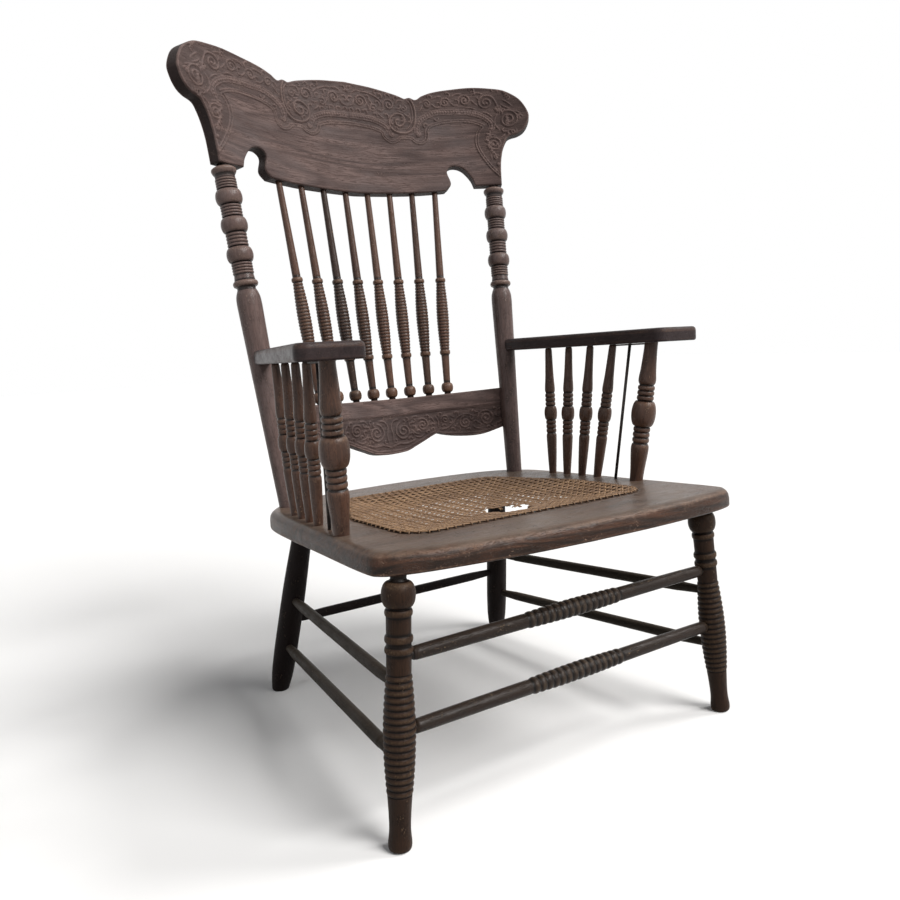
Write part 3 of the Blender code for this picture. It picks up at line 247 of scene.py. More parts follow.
def wood(name, base, deep, worn_and_highlight, wear_and_highlight=0.5, dust=0.0, rough=(0.42, 0.62), gloss=0.15, broad=False,
        tint=(0.05, 0.05, 0.05), sunk_shade=0.88):
    """Old stained oak: streaks and pores along the grain, flecks and dust, worn edges whose light colour is
    also a painted highlight on high places, painted shade in grooves, sunk ground and board sides, and a tone
    that is partly painted highlight and shade.
    """
    n = Nodes(name)
    where = n.attribute("grain", "Vector")
    raised = n.attribute("raised")
    tone = n.attribute("tone")
    if broad:
        figure = n.noise(n.stretched(where, (13.0, 13.0, 2.1)), 1.0, 2.0, 0.45, 0.4)
        rings = n.math("SINE", n.math("MULTIPLY", figure, 74.0))
    else:
        figure = n.noise(n.stretched(where, (38.0, 38.0, 2.6)), 1.0, 4.0, 0.6, 0.8)
        rings = n.math("SINE", n.math("MULTIPLY", figure, 46.0))
    streaks = n.noise(n.stretched(where, (420.0, 420.0, 9.0)), 1.0, 3.0, 0.65)
    pores = n.noise(n.stretched(where, (1300.0, 1300.0, 60.0)), 1.0, 1.0, 0.5)
    pore = n.math("MULTIPLY", n.span(pores, 0.56, 0.64), n.span(rings, -0.2, 0.8, 0.25, 1.0))
    cloud = n.noise(n.stretched(where, (15.0, 15.0, 7.0)), 1.0, 3.0, 0.6)
    patch = n.noise(n.stretched(where, (70.0, 70.0, 34.0)), 1.0, 5.0, 0.7)
    speck = n.noise(n.stretched(where, (620.0, 620.0, 330.0)), 1.0, 2.0, 0.6)
    light = n.math("ADD", n.math("MULTIPLY", streaks if broad else n.mixed(streaks, patch), 0.55),
                   n.math("MULTIPLY", rings, 0.16 if broad else 0.05))
    light = n.math("ADD", light, n.math("MULTIPLY", cloud, 0.50))
    colour = n.mix(n.span(light, 0.28, 0.74), deep, tuple(1.35 * c for c in base))
    colour = n.mix(n.span(cloud, 0.50, 0.72, 0.0, 0.55), colour, tint)
    if not broad:
        colour = n.mix(n.span(patch, 0.50, 0.62, 0.0, 0.60), colour, tuple(0.9 * c for c in deep))
    colour = n.mix(n.math("MULTIPLY", pore, 0.45), colour, tuple(0.35 * c for c in deep))
    # Tone lightens or darkens a whole piece or side: random on the spindles, painted shade on the crest's and
    # seat's sides, and a painted highlight on the left back post.
    colour = n.mix(n.span(tone, 0.0, -1.0, 0.0, 0.85), colour, tuple(0.40 * c for c in deep))
    colour = n.mix(n.span(tone, 0.0, 1.0, 0.0, 0.55), colour, tuple(1.9 * c for c in base))
    # The worn colour on edges and high places is wear, and also a painted highlight on rib tops, carved
    # ridges and the seat's rolled front.
    edge = n.span(n.math("ADD", raised, n.span(patch, 0.3, 0.7, -0.42, 0.30)), 0.20, 0.80)
    rubbed_and_highlight = n.math("MULTIPLY", edge, n.span(speck, 0.30, 0.62, 0.20, 1.0))
    colour = n.mix(n.math("MULTIPLY", rubbed_and_highlight, wear_and_highlight, True), colour, worn_and_highlight)
    # Low places are darkened with painted shade: grooves, the carved ground and the boards' sides.
    low = n.span(n.math("ADD", raised, n.span(patch, 0.3, 0.7, -0.10, 0.14)), -0.06, -0.50)
    colour = n.mix(n.math("MULTIPLY", low, sunk_shade), colour, tuple(0.20 * c for c in deep))
    chips = n.math("MULTIPLY", n.span(patch, 0.56, 0.64), n.span(speck, 0.57, 0.63))
    colour = n.mix(n.math("MULTIPLY", chips, 0.8 * wear_and_highlight + 0.15, True), colour, tuple(1.7 * c for c in worn_and_highlight))
    if dust:
        geometry = n.tree.nodes.new("ShaderNodeNewGeometry")
        split = n.tree.nodes.new("ShaderNodeSeparateXYZ")
        n.tree.links.new(geometry.outputs["Normal"], split.inputs[0])
        up = n.span(split.outputs["Z"], 0.55, 0.98)
        soil = n.math("ADD", n.math("ADD", patch, cloud), n.math("MULTIPLY", streaks, 0.6))
        amount = n.math("MULTIPLY", up, n.span(soil, 1.05, 1.55, 0.25 * dust, dust))
        colour = n.mix(amount, colour, (0.165, 0.122, 0.094))
    n.put(n.shader.inputs["Base Color"], colour)
    varnish = n.span(n.math("ADD", patch, n.math("MULTIPLY", speck, 0.35)), 0.45, 0.85, rough[0], rough[1])
    n.put(n.shader.inputs["Roughness"], n.math("ADD", varnish, n.math("MULTIPLY", rubbed_and_highlight, 0.10 * wear_and_highlight)))
    n.put(n.shader.inputs["Specular IOR Level"], gloss)
    height = n.math("SUBTRACT", n.math("MULTIPLY", streaks, 0.6 if broad else 0.12),
        n.math("MULTIPLY", pore, 0.8 if broad else 0.4))
    height = n.math("ADD", height, n.math("MULTIPLY", patch, 0.9))
    height = n.math("SUBTRACT", height, n.math("MULTIPLY", chips, 0.8))
    bump = n.add("ShaderNodeBump", Strength=0.7, Distance=0.0011, Height=height)
    n.put(n.shader.inputs["Normal"], bump.outputs[0])
    return n.material


CREST_WOOD = wood("crest_wood", (0.120, 0.082, 0.074), (0.060, 0.040, 0.037), (0.235, 0.170, 0.142), 0.30,
    0.0, (0.45, 0.62), 0.10, True, (0.100, 0.084, 0.084), 0.42)
# Its worn colour is also the painted highlight along the seat's rolled front.
SEAT_WOOD = wood("seat_wood", (0.062, 0.029, 0.0175), (0.015, 0.0085, 0.006), (0.270, 0.170, 0.120), 0.55,
    0.80, (0.24, 0.42), 0.17, True, (0.022, 0.0145, 0.010))
SPINDLE_WOOD = wood("spindle_wood", (0.104, 0.052, 0.034), (0.026, 0.014, 0.010), (0.245, 0.145, 0.090), 0.44,
    0.0, (0.22, 0.40), 0.24, False, (0.046, 0.034, 0.030))
POST_WOOD = wood("post_wood", (0.136, 0.090, 0.080), (0.040, 0.027, 0.025), (0.260, 0.175, 0.135), 0.42, 0.0,
    (0.22, 0.40), 0.20, False, (0.125, 0.100, 0.098))
ARM_WOOD = wood("arm_wood", (0.040, 0.026, 0.026), (0.018, 0.013, 0.013), (0.175, 0.100, 0.070), 0.32, 0.02,
    (0.26, 0.46), 0.12, False, (0.042, 0.035, 0.038))
# Darker than the wood above it: painted shade under the seat.
LEG_WOOD = wood("leg_wood", (0.032, 0.0162, 0.0094), (0.009, 0.005, 0.0036), (0.125, 0.080, 0.048), 0.40, 0.0,
    (0.34, 0.54), 0.10, False, (0.014, 0.009, 0.007))
# Near black, for the back legs and back stretcher under the seat: painted shade.
UNDER_SEAT_SHADED_WOOD = wood("under_seat_shaded_wood", (0.013, 0.009, 0.008), (0.006, 0.004, 0.004), (0.120, 0.085, 0.060), 0.40, 0.0,
    (0.40, 0.62), 0.07, False, (0.010, 0.008, 0.008))
RUNG_WOOD = wood("rung_wood", (0.034, 0.026, 0.019), (0.014, 0.011, 0.008), (0.120, 0.092, 0.066), 0.30, 0.20,
    (0.42, 0.64), 0.08, False, (0.028, 0.024, 0.020))
FRONT_RUNG_WOOD = wood("front_rung_wood", (0.023, 0.0145, 0.0105), (0.009, 0.006, 0.0045),
    (0.165, 0.115, 0.074), 0.48, 0.06, (0.28, 0.48), 0.15, False, (0.017, 0.013, 0.011))


def cane_finish():
    """Aged cane: tan to brown, darker where it is soiled, each strand a little different."""
    n = Nodes("aged_cane")
    where = n.attribute("grain", "Vector")
    own = n.attribute("own")
    stain = n.noise(n.stretched(where, (1.0, 1.0, 1.0)), 14.0, 4.0, 0.6)
    fibre = n.noise(n.stretched(where, (900.0, 900.0, 900.0)), 1.0, 2.0, 0.6)
    colour = n.mix(own, (0.150, 0.078, 0.038), (0.400, 0.245, 0.130))
    colour = n.mix(n.span(stain, 0.35, 0.65, 0.0, 0.7), colour, (0.105, 0.058, 0.032))
    colour = n.mix(n.span(fibre, 0.45, 0.70, 0.0, 0.5), colour, (0.085, 0.048, 0.028))
    n.put(n.shader.inputs["Base Color"], colour)
    n.put(n.shader.inputs["Roughness"], n.span(stain, 0.3, 0.7, 0.42, 0.62))
    n.put(n.shader.inputs["Specular IOR Level"], 0.35)
    bump = n.add("ShaderNodeBump", Strength=0.4, Distance=0.0003, Height=fibre)
    n.put(n.shader.inputs["Normal"], bump.outputs[0])
    return n.material


def iron_finish():
    """Dull dark iron with a little rust."""
    n = Nodes("dark_iron")
    place = n.tree.nodes.new("ShaderNodeTexCoord").outputs["Object"]
    rust = n.noise(place, 240.0, 4.0, 0.65)
    colour = n.mix(n.span(rust, 0.50, 0.66, 0.0, 0.8), (0.034, 0.031, 0.030), (0.070, 0.040, 0.026))
    n.put(n.shader.inputs["Base Color"], colour)
    n.put(n.shader.inputs["Metallic"], n.span(rust, 0.50, 0.66, 0.7, 0.1))
    n.put(n.shader.inputs["Roughness"], n.span(rust, 0.3, 0.7, 0.42, 0.75))
    bump = n.add("ShaderNodeBump", Strength=0.4, Distance=0.0003, Height=rust)
    n.put(n.shader.inputs["Normal"], bump.outputs[0])
    return n.material


CANE_MATERIAL = cane_finish()
IRON_MATERIAL = iron_finish()


# ---------------------------------------------------------------- turned pieces
def straight(points):
    """A turned stretch that eases through its points."""
    pts = smooth(points, 4)
    pts[:, 0] = np.maximum.accumulate(pts[:, 0])
    return pts


def line(z0, r0, z1, r1):
    return np.array([(z0, r0), (z1, r1)])


def bead(z0, z1, edge, crown, count=6):
    """A round swelling between two edges."""
    t = np.linspace(0, 1, count + 1)
    return np.stack([z0 + (z1 - z0) * (0.5 - 0.5 * np.cos(np.pi * t)),
        edge + (crown - edge) * np.sin(np.pi * t) ** 0.9], 1)


def beads(z0, z1, count, valley, crown, steps=5):
    pitch = (z1 - z0) / count
    return np.vstack([bead(z0 + i * pitch, z0 + (i + 1) * pitch, valley, crown, steps) for i in range(count)])


def rib_row(z0, z1, count, first, middle, last, depth, steps=5):
    """Ribs over a swelling, each a small round bead."""
    rows = []
    for i in range(count):
        t = (i + np.linspace(0, 1, steps + 1)) / count
        swell = first + (last - first) * t + (middle - (first + last) / 2) * np.sin(np.pi * t)
        inner = np.linspace(0, 1, steps + 1)
        rows.append(np.stack([z0 + (z1 - z0) * t, swell - depth * (1 - np.sin(np.pi * inner) ** 0.7)], 1))
    return np.vstack(rows)


def lathe(name, stretches, start, end, sides, material, wobble=0.0, tone=0.0):
    """A turned piece from its stretches of (height, radius), with its grain and its high and low places."""
    profile = np.vstack(stretches)
    keep = [0]
    for i in range(1, len(profile)):
        if abs(profile[i, 0] - profile[keep[-1], 0]) + abs(profile[i, 1] - profile[keep[-1], 1]) > 0.00006:
            keep.append(i)
    profile = profile[keep]
    z, r = profile[:, 0], profile[:, 1]
    even = np.arange(z.min(), z.max(), 0.0005)
    steady = np.interp(even, np.maximum.accumulate(z), r)
    wide = np.exp(-0.5 * (np.arange(-16, 17) / 6.0) ** 2)
    wide /= wide.sum()
    blurred = np.convolve(np.pad(steady, 16, mode="edge"), wide, "valid")
    # High places get the wood's worn colour, partly a painted highlight on rib and bead tops; low places get
    # painted shade in the grooves.
    raised = np.clip((r - np.interp(z, even, blurred)) / 0.0008, -1, 1)
    angles = np.linspace(0, math.tau, sides, endpoint=False)
    shift = chance.uniform(-3, 3, 3)
    shape = 1 + wobble * (np.sin(angles[None, :] * 2 + shift[0])
        + 0.5 * np.sin(z[:, None] * 41 + angles[None, :] + shift[1]))
    x = r[:, None] * np.cos(angles) * shape
    y = r[:, None] * np.sin(angles) * shape
    height = np.repeat(z[:, None], sides, 1)
    local = np.stack([x, y, height], -1).reshape(-1, 3)
    rise = np.repeat(raised[:, None], sides, 1).ravel()
    count = len(z)
    faces = []
    for i in range(count - 1):
        a, b = i * sides, (i + 1) * sides
        for j in range(sides):
            k = (j + 1) % sides
            faces.append((a + j, a + k, b + k, b + j))
    faces.append(tuple(range(sides))[::-1])
    faces.append(tuple((count - 1) * sides + j for j in range(sides)))
    turn = Vector((0, 0, 1)).rotation_difference(end - start).to_matrix()
    world = local @ np.array(turn).T + np.array(start)
    world[:, 2] = np.maximum(world[:, 2], 0.0)
    piece = add_mesh(name + "_look", world, faces, material,
                     {"grain": local + shift, "raised": rise, "tone": np.full(len(world), tone)})
    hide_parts(name)
    return piece


POST_R, SHOULDER = 0.0195, 0.335


def post_stretches(length):
    collar = length - 0.0105
    out = [line(-0.014, 0.0145, 0.0, 0.0145), line(0.001, 0.0145, SHOULDER - 0.012, POST_R)]
    out += [straight([(SHOULDER - 0.010, POST_R + 0.0001), (SHOULDER + 0.003, POST_R - 0.0004),
        (SHOULDER + 0.011, POST_R - 0.0022), (SHOULDER + 0.0165, 0.0150), (SHOULDER + 0.0185, 0.0143)])]
    out += [bead(SHOULDER + 0.0215, SHOULDER + 0.0315, 0.0150, 0.0197, 8)]
    out += [straight([(SHOULDER + 0.0325, 0.0163), (SHOULDER + 0.036, 0.0158), (SHOULDER + 0.041, 0.0152)])]
    edge = SHOULDER + 0.0415
    for share in (0.3515, 0.5817, 0.7970):
        centre = SHOULDER + share * (collar - SHOULDER)
        out += [beads(edge, centre - 0.0128, 4, 0.0144, 0.0166)]
        out += [bead(centre - 0.0124, centre + 0.0124, 0.0138, 0.0209, 14)]
        edge = centre + 0.0127
    out += [beads(edge, collar - 0.0125, 4, 0.0144, 0.0166)]
    out += [straight([(collar - 0.012, 0.0156), (collar - 0.007, 0.0160), (collar - 0.004, 0.0182),
        (collar, 0.0196), (collar + 0.0028, 0.0190), (collar + 0.0050, 0.0162)])]
    out += [straight([(collar + 0.0060, 0.0125), (collar + 0.0075, 0.0095), (collar + 0.0100, 0.0084)])]
    out += [line(collar + 0.0105, 0.0081, length + 0.012, 0.0079)]
    return out


def spindle_stretches(length):
    out = [line(-0.010, 0.0060, 0.0030, 0.0060), bead(0.0037, 0.0213, 0.0064, 0.01125, 12)]
    out += [straight([(0.0222, 0.0064), (0.045, 0.0068), (0.066, 0.0072), (0.0742, 0.0076)])]
    out += [bead(0.0752, 0.0842, 0.0080, 0.0099, 8)]
    out += [rib_row(0.0845, 0.2125, 22, 0.0089, 0.0116, 0.0084, 0.0012, 5)]
    out += [bead(0.2130, 0.2212, 0.0078, 0.0097, 8)]
    out += [straight([(0.222, 0.0070), (0.240, 0.0069), (0.290, 0.0062), (length - 0.006, 0.00535)])]
    out += [line(length - 0.004, 0.00525, length + 0.012, 0.00525)]
    return out


def arm_post_stretches(length):
    ball = 0.1115
    low, high = ball - 0.048, ball + 0.046
    out = [line(-0.014, 0.0108, 0.001, 0.0108)]
    out += [straight([(0.004, 0.0109), (0.020, 0.0118), (low - 0.018, 0.0141), (low - 0.009, 0.0145),
        (low - 0.004, 0.0138), (low - 0.0008, 0.0116)])]
    out += [beads(low, ball - 0.0215, 3, 0.0112, 0.0138, 7)]
    out += [bead(ball - 0.0210, ball + 0.0210, 0.0122, 0.0198, 16)]
    out += [beads(ball + 0.0215, high, 3, 0.0112, 0.0138, 7)]
    out += [straight([(high + 0.001, 0.0116), (high + 0.005, 0.0137), (high + 0.012, 0.0141),
        (high + 0.026, 0.0126), (length - 0.016, 0.0109), (length - 0.004, 0.0107)])]
    out += [line(length, 0.0107, length + 0.010, 0.0107)]
    return out


def arm_spindle_stretches(length):
    ball = 0.1100
    low, high = ball - 0.036, ball + 0.036
    out = [line(-0.014, 0.0066, 0.001, 0.0066)]
    out += [straight([(0.004, 0.0067), (0.030, 0.0080), (low - 0.010, 0.0092), (low - 0.004, 0.0090),
        (low - 0.0006, 0.0078)])]
    out += [beads(low, ball - 0.0130, 3, 0.0076, 0.0092, 6)]
    out += [bead(ball - 0.0126, ball + 0.0126, 0.0080, 0.01165, 12)]
    out += [beads(ball + 0.0130, high, 3, 0.0076, 0.0092, 6)]
    out += [straight([(high + 0.0008, 0.0078), (high + 0.005, 0.0091), (high + 0.014, 0.0089),
        (high + 0.032, 0.0077), (length - 0.010, 0.0063), (length - 0.003, 0.0061)])]
    out += [line(length, 0.0049, length + 0.010, 0.0049)]
    return out


def front_leg_stretches(length):
    out = [straight([(0.0006, 0.0122), (0.0020, 0.0136), (0.0060, 0.0144), (0.011, 0.0143), (0.018, 0.0135),
        (0.028, 0.0130), (0.045, 0.0136), (0.0600, 0.0146), (0.0655, 0.0149)])]
    out += [rib_row(0.0665, 0.2105, 18, 0.0158, 0.0197, 0.0156, 0.0022, 6)]
    out += [straight([(0.2108, 0.0146), (0.2150, 0.0149), (0.2340, 0.0150)])]
    out += [bead(0.2345, 0.2425, 0.0152, 0.0171, 7), line(0.2430, 0.0150, 0.2468, 0.0150)]
    out += [bead(0.2472, 0.2560, 0.0152, 0.0171, 7)]
    out += [straight([(0.2564, 0.0149), (0.2650, 0.0150), (0.2780, 0.0151)])]
    out += [bead(0.2784, 0.2866, 0.0150, 0.0168, 7)]
    out += [bead(0.2878, 0.3192, 0.0120, 0.0205, 16)]
    out += [straight([(0.3196, 0.0112), (0.3220, 0.0098), (length - 0.004, 0.0097),
        (length + 0.010, 0.0108)])]
    return out


def back_leg_stretches(length):
    return [straight([(0.0006, 0.0134), (0.0030, 0.0146), (0.030, 0.0180), (0.060, 0.0192), (0.095, 0.0196),
        (0.190, 0.0192), (0.270, 0.0168), (length - 0.002, 0.0155), (length + 0.012, 0.0155)])]


def plain_stretches(length):
    ease = min(0.05, length / 4)
    return [straight([(0.007, 0.0062), (0.020, 0.0063), (0.026 + ease * 0.5, 0.0076), (0.026 + ease, 0.0082),
        (length / 2, 0.0083), (length - 0.026 - ease, 0.0082), (length - 0.026 - ease * 0.5, 0.0076),
        (length - 0.020, 0.0063), (length - 0.007, 0.0062)])]


def ribbed_stretches(length):
    middle, reach = length / 2, 0.080
    out = [straight([(0.007, 0.0062), (0.0165, 0.0066), (0.020, 0.0080), (0.040, 0.0088),
        (middle - reach - 0.004, 0.0096)])]
    out += [rib_row(middle - reach, middle + reach, 15, 0.0107, 0.0123, 0.0107, 0.0018, 6)]
    out += [straight([(middle + reach + 0.004, 0.0096), (length - 0.040, 0.0088), (length - 0.020, 0.0080),
                      (length - 0.0165, 0.0066), (length - 0.007, 0.0062)])]
    return out


post_axis = {}
for side, word in ((-1, "left"), (1, "right")):
    low, high = mirrored(seat_point(0.228, 0.143), side), mirrored(back_point(0.264, 0.0095), side)
    post_axis[side] = (low, high)
    # The left post's tone lightens it, a painted highlight; the right post's tone darkens it a little.
    lathe(f"back_post_{word}", post_stretches((high - low).length), low, high, 36, POST_WOOD,
        0.006, 0.15 if side < 0 else -0.1)
    for number in range(4):
        base = seat_point(0.2512 + 0.0032 * number, 0.0550 - 0.0360 * number)
        top = arm_point(0.2605 + 0.0048 * number, 0.0685 - 0.0507 * number)
        base, top = mirrored(base, side), mirrored(top, side)
        lathe(f"arm_spindle_{word}_{number + 1}", arm_spindle_stretches((top - base).length), base, top, 24,
            SPINDLE_WOOD, 0.006)
    base, top = mirrored(seat_point(0.2665, -0.140), side), mirrored(arm_point(0.2815, -0.164), side)
    lathe(f"arm_post_{word}", arm_post_stretches((top - base).length), base, top, 36, SPINDLE_WOOD,
        0.006)
    base, top = mirrored(seat_point(0.2632, -0.0955), side), mirrored(arm_point(0.2760, -0.1220), side)
    lathe(f"arm_rod_{word}", [line(-0.014, 0.0025, (top - base).length + 0.010, 0.0025)], base, top, 16,
        IRON_MATERIAL)
SPINDLE_TONES = (0.25, 0.15, -0.75, -0.10, 0.30, 0.20, -0.20, 0.35)
for number in range(8):
    offset = number - 3.5
    low, high = back_point(offset * 0.0372, RAIL_TOP), back_point(offset * 0.0445, 0.0025)
    lathe(f"back_spindle_{number + 1}", spindle_stretches((high - low).length), low, high, 22, SPINDLE_WOOD,
        0.006, SPINDLE_TONES[number])

leg_axis = {}
for side, word in ((-1, "left"), (1, "right")):
    for where, foot, top, shape, material, slot_name in (
        ("front", (0.287, -0.293), (0.2605, -0.2775), front_leg_stretches, LEG_WOOD, "dark_oak"),
        ("back", (0.2345, 0.2325), (0.1965, 0.1590), back_leg_stretches, UNDER_SEAT_SHADED_WOOD, "black_oak"),
    ):
        a = mirrored(Vector((*foot, 0.0)), side)
        b = mirrored(seat_point(*top, SEAT_THICKNESS), side)
        name = f"{where}_leg_{word}"
        leg_axis[name] = (a, b)
        lathe(name, shape((b - a).length), a, b, 40, material, 0.004)


def rung(name, leg_a, height_a, leg_b, height_b, shape, material):
    a, b = at_height(*leg_axis[leg_a], height_a), at_height(*leg_axis[leg_b], height_b)
    lathe(name, shape((b - a).length), a, b, 26, material, 0.008)


rung("front_stretcher_upper", "front_leg_left", 0.228, "front_leg_right", 0.228, ribbed_stretches,
    FRONT_RUNG_WOOD)
rung("front_stretcher_lower", "front_leg_left", 0.140, "front_leg_right", 0.140, ribbed_stretches,
    FRONT_RUNG_WOOD)
rung("back_stretcher", "back_leg_left", 0.129, "back_leg_right", 0.129, plain_stretches, UNDER_SEAT_SHADED_WOOD)
for word in ("left", "right"):
    rung(f"side_stretcher_{word}_upper", f"front_leg_{word}", 0.193, f"back_leg_{word}", 0.167,
        plain_stretches, RUNG_WOOD)
    rung(f"side_stretcher_{word}_lower", f"front_leg_{word}", 0.107, f"back_leg_{word}", 0.0825,
        plain_stretches, RUNG_WOOD)


# ---------------------------------------------------------------- boards
def nearest(points, line_points):
    """For each point, its distance to a finely stepped line and the nearest step's number."""
    best = np.full(len(points), 1e9)
    index = np.zeros(len(points), int)
    for i in range(0, len(line_points), 64):
        block = line_points[i:i + 64]
        d = np.linalg.norm(points[:, None, :] - block[None, :, :], axis=2)
        k = d.argmin(1)
        value = d[np.arange(len(points)), k]
        better = value < best
        best[better] = value[better]
        index[better] = k[better] + i
    return best, index


def inset_line(outline, distance):
    """The outline's points moved in by a distance."""
    after = np.roll(outline, -1, 0) - np.roll(outline, 1, 0)
    normal = np.stack([-after[:, 1], after[:, 0]], 1)
    normal /= np.linalg.norm(normal, axis=1)[:, None]
    area = 0.5 * np.sum(
        outline[:, 0] * np.roll(outline[:, 1], -1) - np.roll(outline[:, 0], -1) * outline[:, 1])
    moved = outline + normal * distance * (1 if area > 0 else -1)
    return moved


def is_inside(points, outline):
    odd = np.zeros(len(points), bool)
    x1, y1 = outline[:, 0], outline[:, 1]
    x2, y2 = np.roll(x1, -1), np.roll(y1, -1)
    for a, b, c, d in zip(x1, y1, x2, y2):
        if b == d:
            continue
        cross = (b > points[:, 1]) != (d > points[:, 1])
        odd ^= cross & (points[:, 0] < a + (points[:, 1] - b) * (c - a) / (d - b))
    return odd


def layer(outlines, spacing, rounding, hole_rounding):
    """Flat triangles within the first outline and outside the others, with close rows near each edge.

    Gives the points, the triangles, and each point's distance to the outer edge and to the nearest opening.
    """
    points, edges, outer_of, hole_of = [], [], [], []

    def note(found, outer, hole):
        points.extend(found.tolist())
        outer_of.extend(np.broadcast_to(outer, len(found)))
        hole_of.extend(np.broadcast_to(hole, len(found)))

    for number, outline in enumerate(outlines):
        first, count = len(points), len(outline)
        note(outline, 1.0 if number else 0.0, 0.0 if number else 1.0)
        edges += [(first + i, first + (i + 1) % count) for i in range(count)]
    fine = np.vstack(outlines)
    for number, outline in enumerate(outlines):
        width = hole_rounding if number else rounding
        if len(outline) < 20:
            continue
        for share in (0.10, 0.30, 0.62, 1.0):
            moved = inset_line(outline, share * width * (-1 if number else 1))
            ok = nearest(moved, fine)[0] > share * width * 0.93
            if not number:
                ok &= is_inside(moved, outlines[0])
            note(moved[ok], 1.0 if number else share * width, share * width if number else 1.0)
    low, high = outlines[0].min(0), outlines[0].max(0)
    grid = np.stack(np.meshgrid(np.arange(low[0], high[0], spacing), np.arange(low[1], high[1], spacing)), -1)
    grid[1::2, :, 0] += spacing / 2
    grid = grid.reshape(-1, 2)
    grid = grid[is_inside(grid, outlines[0])]
    for outline in outlines[1:]:
        near = np.where(np.all((grid > outline.min(0)) & (grid < outline.max(0)), axis=1))[0]
        grid = np.delete(grid, near[is_inside(grid[near], outline)], axis=0)
    outer = nearest(grid, resample(outlines[0], 0.001, True))[0]
    hole = nearest(grid, np.vstack(outlines[1:]))[0] if len(outlines) > 1 else np.ones(len(grid))
    clear = (outer > max(rounding * 1.15, spacing * 0.45)) & (
        hole > max(hole_rounding * 1.15, spacing * 0.45))
    note(grid[clear], outer[clear], hole[clear])
    made = delaunay_2d_cdt([Vector(p) for p in points], edges, [], 1, 1e-7)
    verts = np.array([tuple(v) for v in made[0]])
    outer = np.array([outer_of[o[0]] if o else 0.0 for o in made[3]])
    hole = np.array([hole_of[o[0]] if o else 0.0 for o in made[3]])
    faces = np.array([tuple(f) for f in made[2]])
    middle = verts[faces].mean(1)
    keep = is_inside(middle, outlines[0])
    for outline in outlines[1:]:
        near = np.where(np.all((middle > outline.min(0)) & (middle < outline.max(0)), axis=1))[0]
        keep[near[is_inside(middle[near], outline)]] = False
    return verts, [tuple(f) for f in faces[keep].tolist()], outer, hole


def slab(outlines, thickness, front_height, spacing, rounding, fall=None, back_spacing=0.012,
        back_rounding=0.0012, side_shade=-0.1):
    """A board from its outlines: local points (across, up, out), faces, and which places stand proud; the
    sides get a low value, which paints shade on them.

    front_height gives the carved height over the board's face for points across and up. The front edge is
    rounded over a width and down by a fall.
    """
    fall = fall or rounding
    front, front_faces, front_outer, front_hole = layer(outlines, spacing, rounding, 0.0012)
    back, back_faces, back_outer, back_hole = layer(outlines, back_spacing, back_rounding, 0.0012)
    front_depth = np.minimum(front_outer, front_hole)
    back_depth = np.minimum(back_outer, back_hole)

    def drop(depth, width, down):
        share = 1 - np.clip(depth / width, 0, 1)
        return down * (1 - np.sqrt(np.clip(1 - share ** 2, 0, None)))

    relief, high = front_height(front, front_depth)
    out_front = thickness / 2 - drop(front_outer, rounding, fall) - drop(front_hole, 0.0012, 0.0012) + relief
    out_back = -thickness / 2 + drop(back_outer, back_rounding, back_rounding)
    offset = len(front)
    sign = []
    for face in front_faces[:40]:
        a, b, c = (front[i] for i in face[:3])
        sign.append((b[0] - a[0]) * (c[1] - a[1]) - (b[1] - a[1]) * (c[0] - a[0]))
    flip = np.mean(sign) < 0
    faces = [f[::-1] if flip else f for f in front_faces]
    faces += [tuple(i + offset for i in (f if flip else f[::-1])) for f in back_faces]
    key = {tuple(np.round(p, 6)): i + offset for i, p in enumerate(back)}
    edges = {(a, b) for face in faces[:len(front_faces)] for a, b in zip(face, face[1:] + face[:1])}
    rim = [(a, b) for a, b in edges if (b, a) not in edges]
    between, values, column = [], [], {}
    for a in {a for edge in rim for a in edge}:
        below = key.get(tuple(np.round(front[a], 6)))
        if below is None:
            continue
        first = offset + len(back) + len(between)
        z0, z1 = out_front[a], out_back[below - offset]
        reach = min(0.0016, (z0 - z1) / 4)
        between += [(*front[a], z0 - reach), (*front[a], (z0 + z1) / 2), (*front[a], z1 + reach)]
        # The sides' low value darkens them: painted shade.
        values += [side_shade, side_shade, side_shade]
        column[a] = [a, first, first + 1, first + 2, below]
    for a, b in rim:
        if a in column and b in column:
            faces += [(b0, a0, a1, b1)
                for a0, b0, a1, b1 in zip(column[a], column[b], column[a][1:], column[b][1:])]
    verts = np.vstack([np.c_[front, out_front], np.c_[back, out_back], np.array(between)])
    raised = np.r_[high, np.clip(0.5 - back_depth / 0.002, 0, 1), values]
    return verts, faces, raised


def edge_only(points, depth):
    """No carving: only the worn edge."""
    return np.zeros(len(points)), np.clip(0.75 - depth / 0.004, 0, 1)


def unrolled(points):
    pts = np.array(points, float)
    return np.stack([BACK_BEND * np.arcsin(pts[:, 0] / BACK_BEND), pts[:, 1]], 1)


def spiral(x, z, radius, turns, start, way, steps=60, inner=0.16):
    """A scroll that winds in to its centre."""
    t = np.linspace(0, 1, steps)
    reach = radius * (1 - (1 - inner) * t ** 0.85)
    angle = start + way * turns * math.tau * t
    return np.stack([x + reach * np.cos(angle), z + reach * np.sin(angle)], 1)


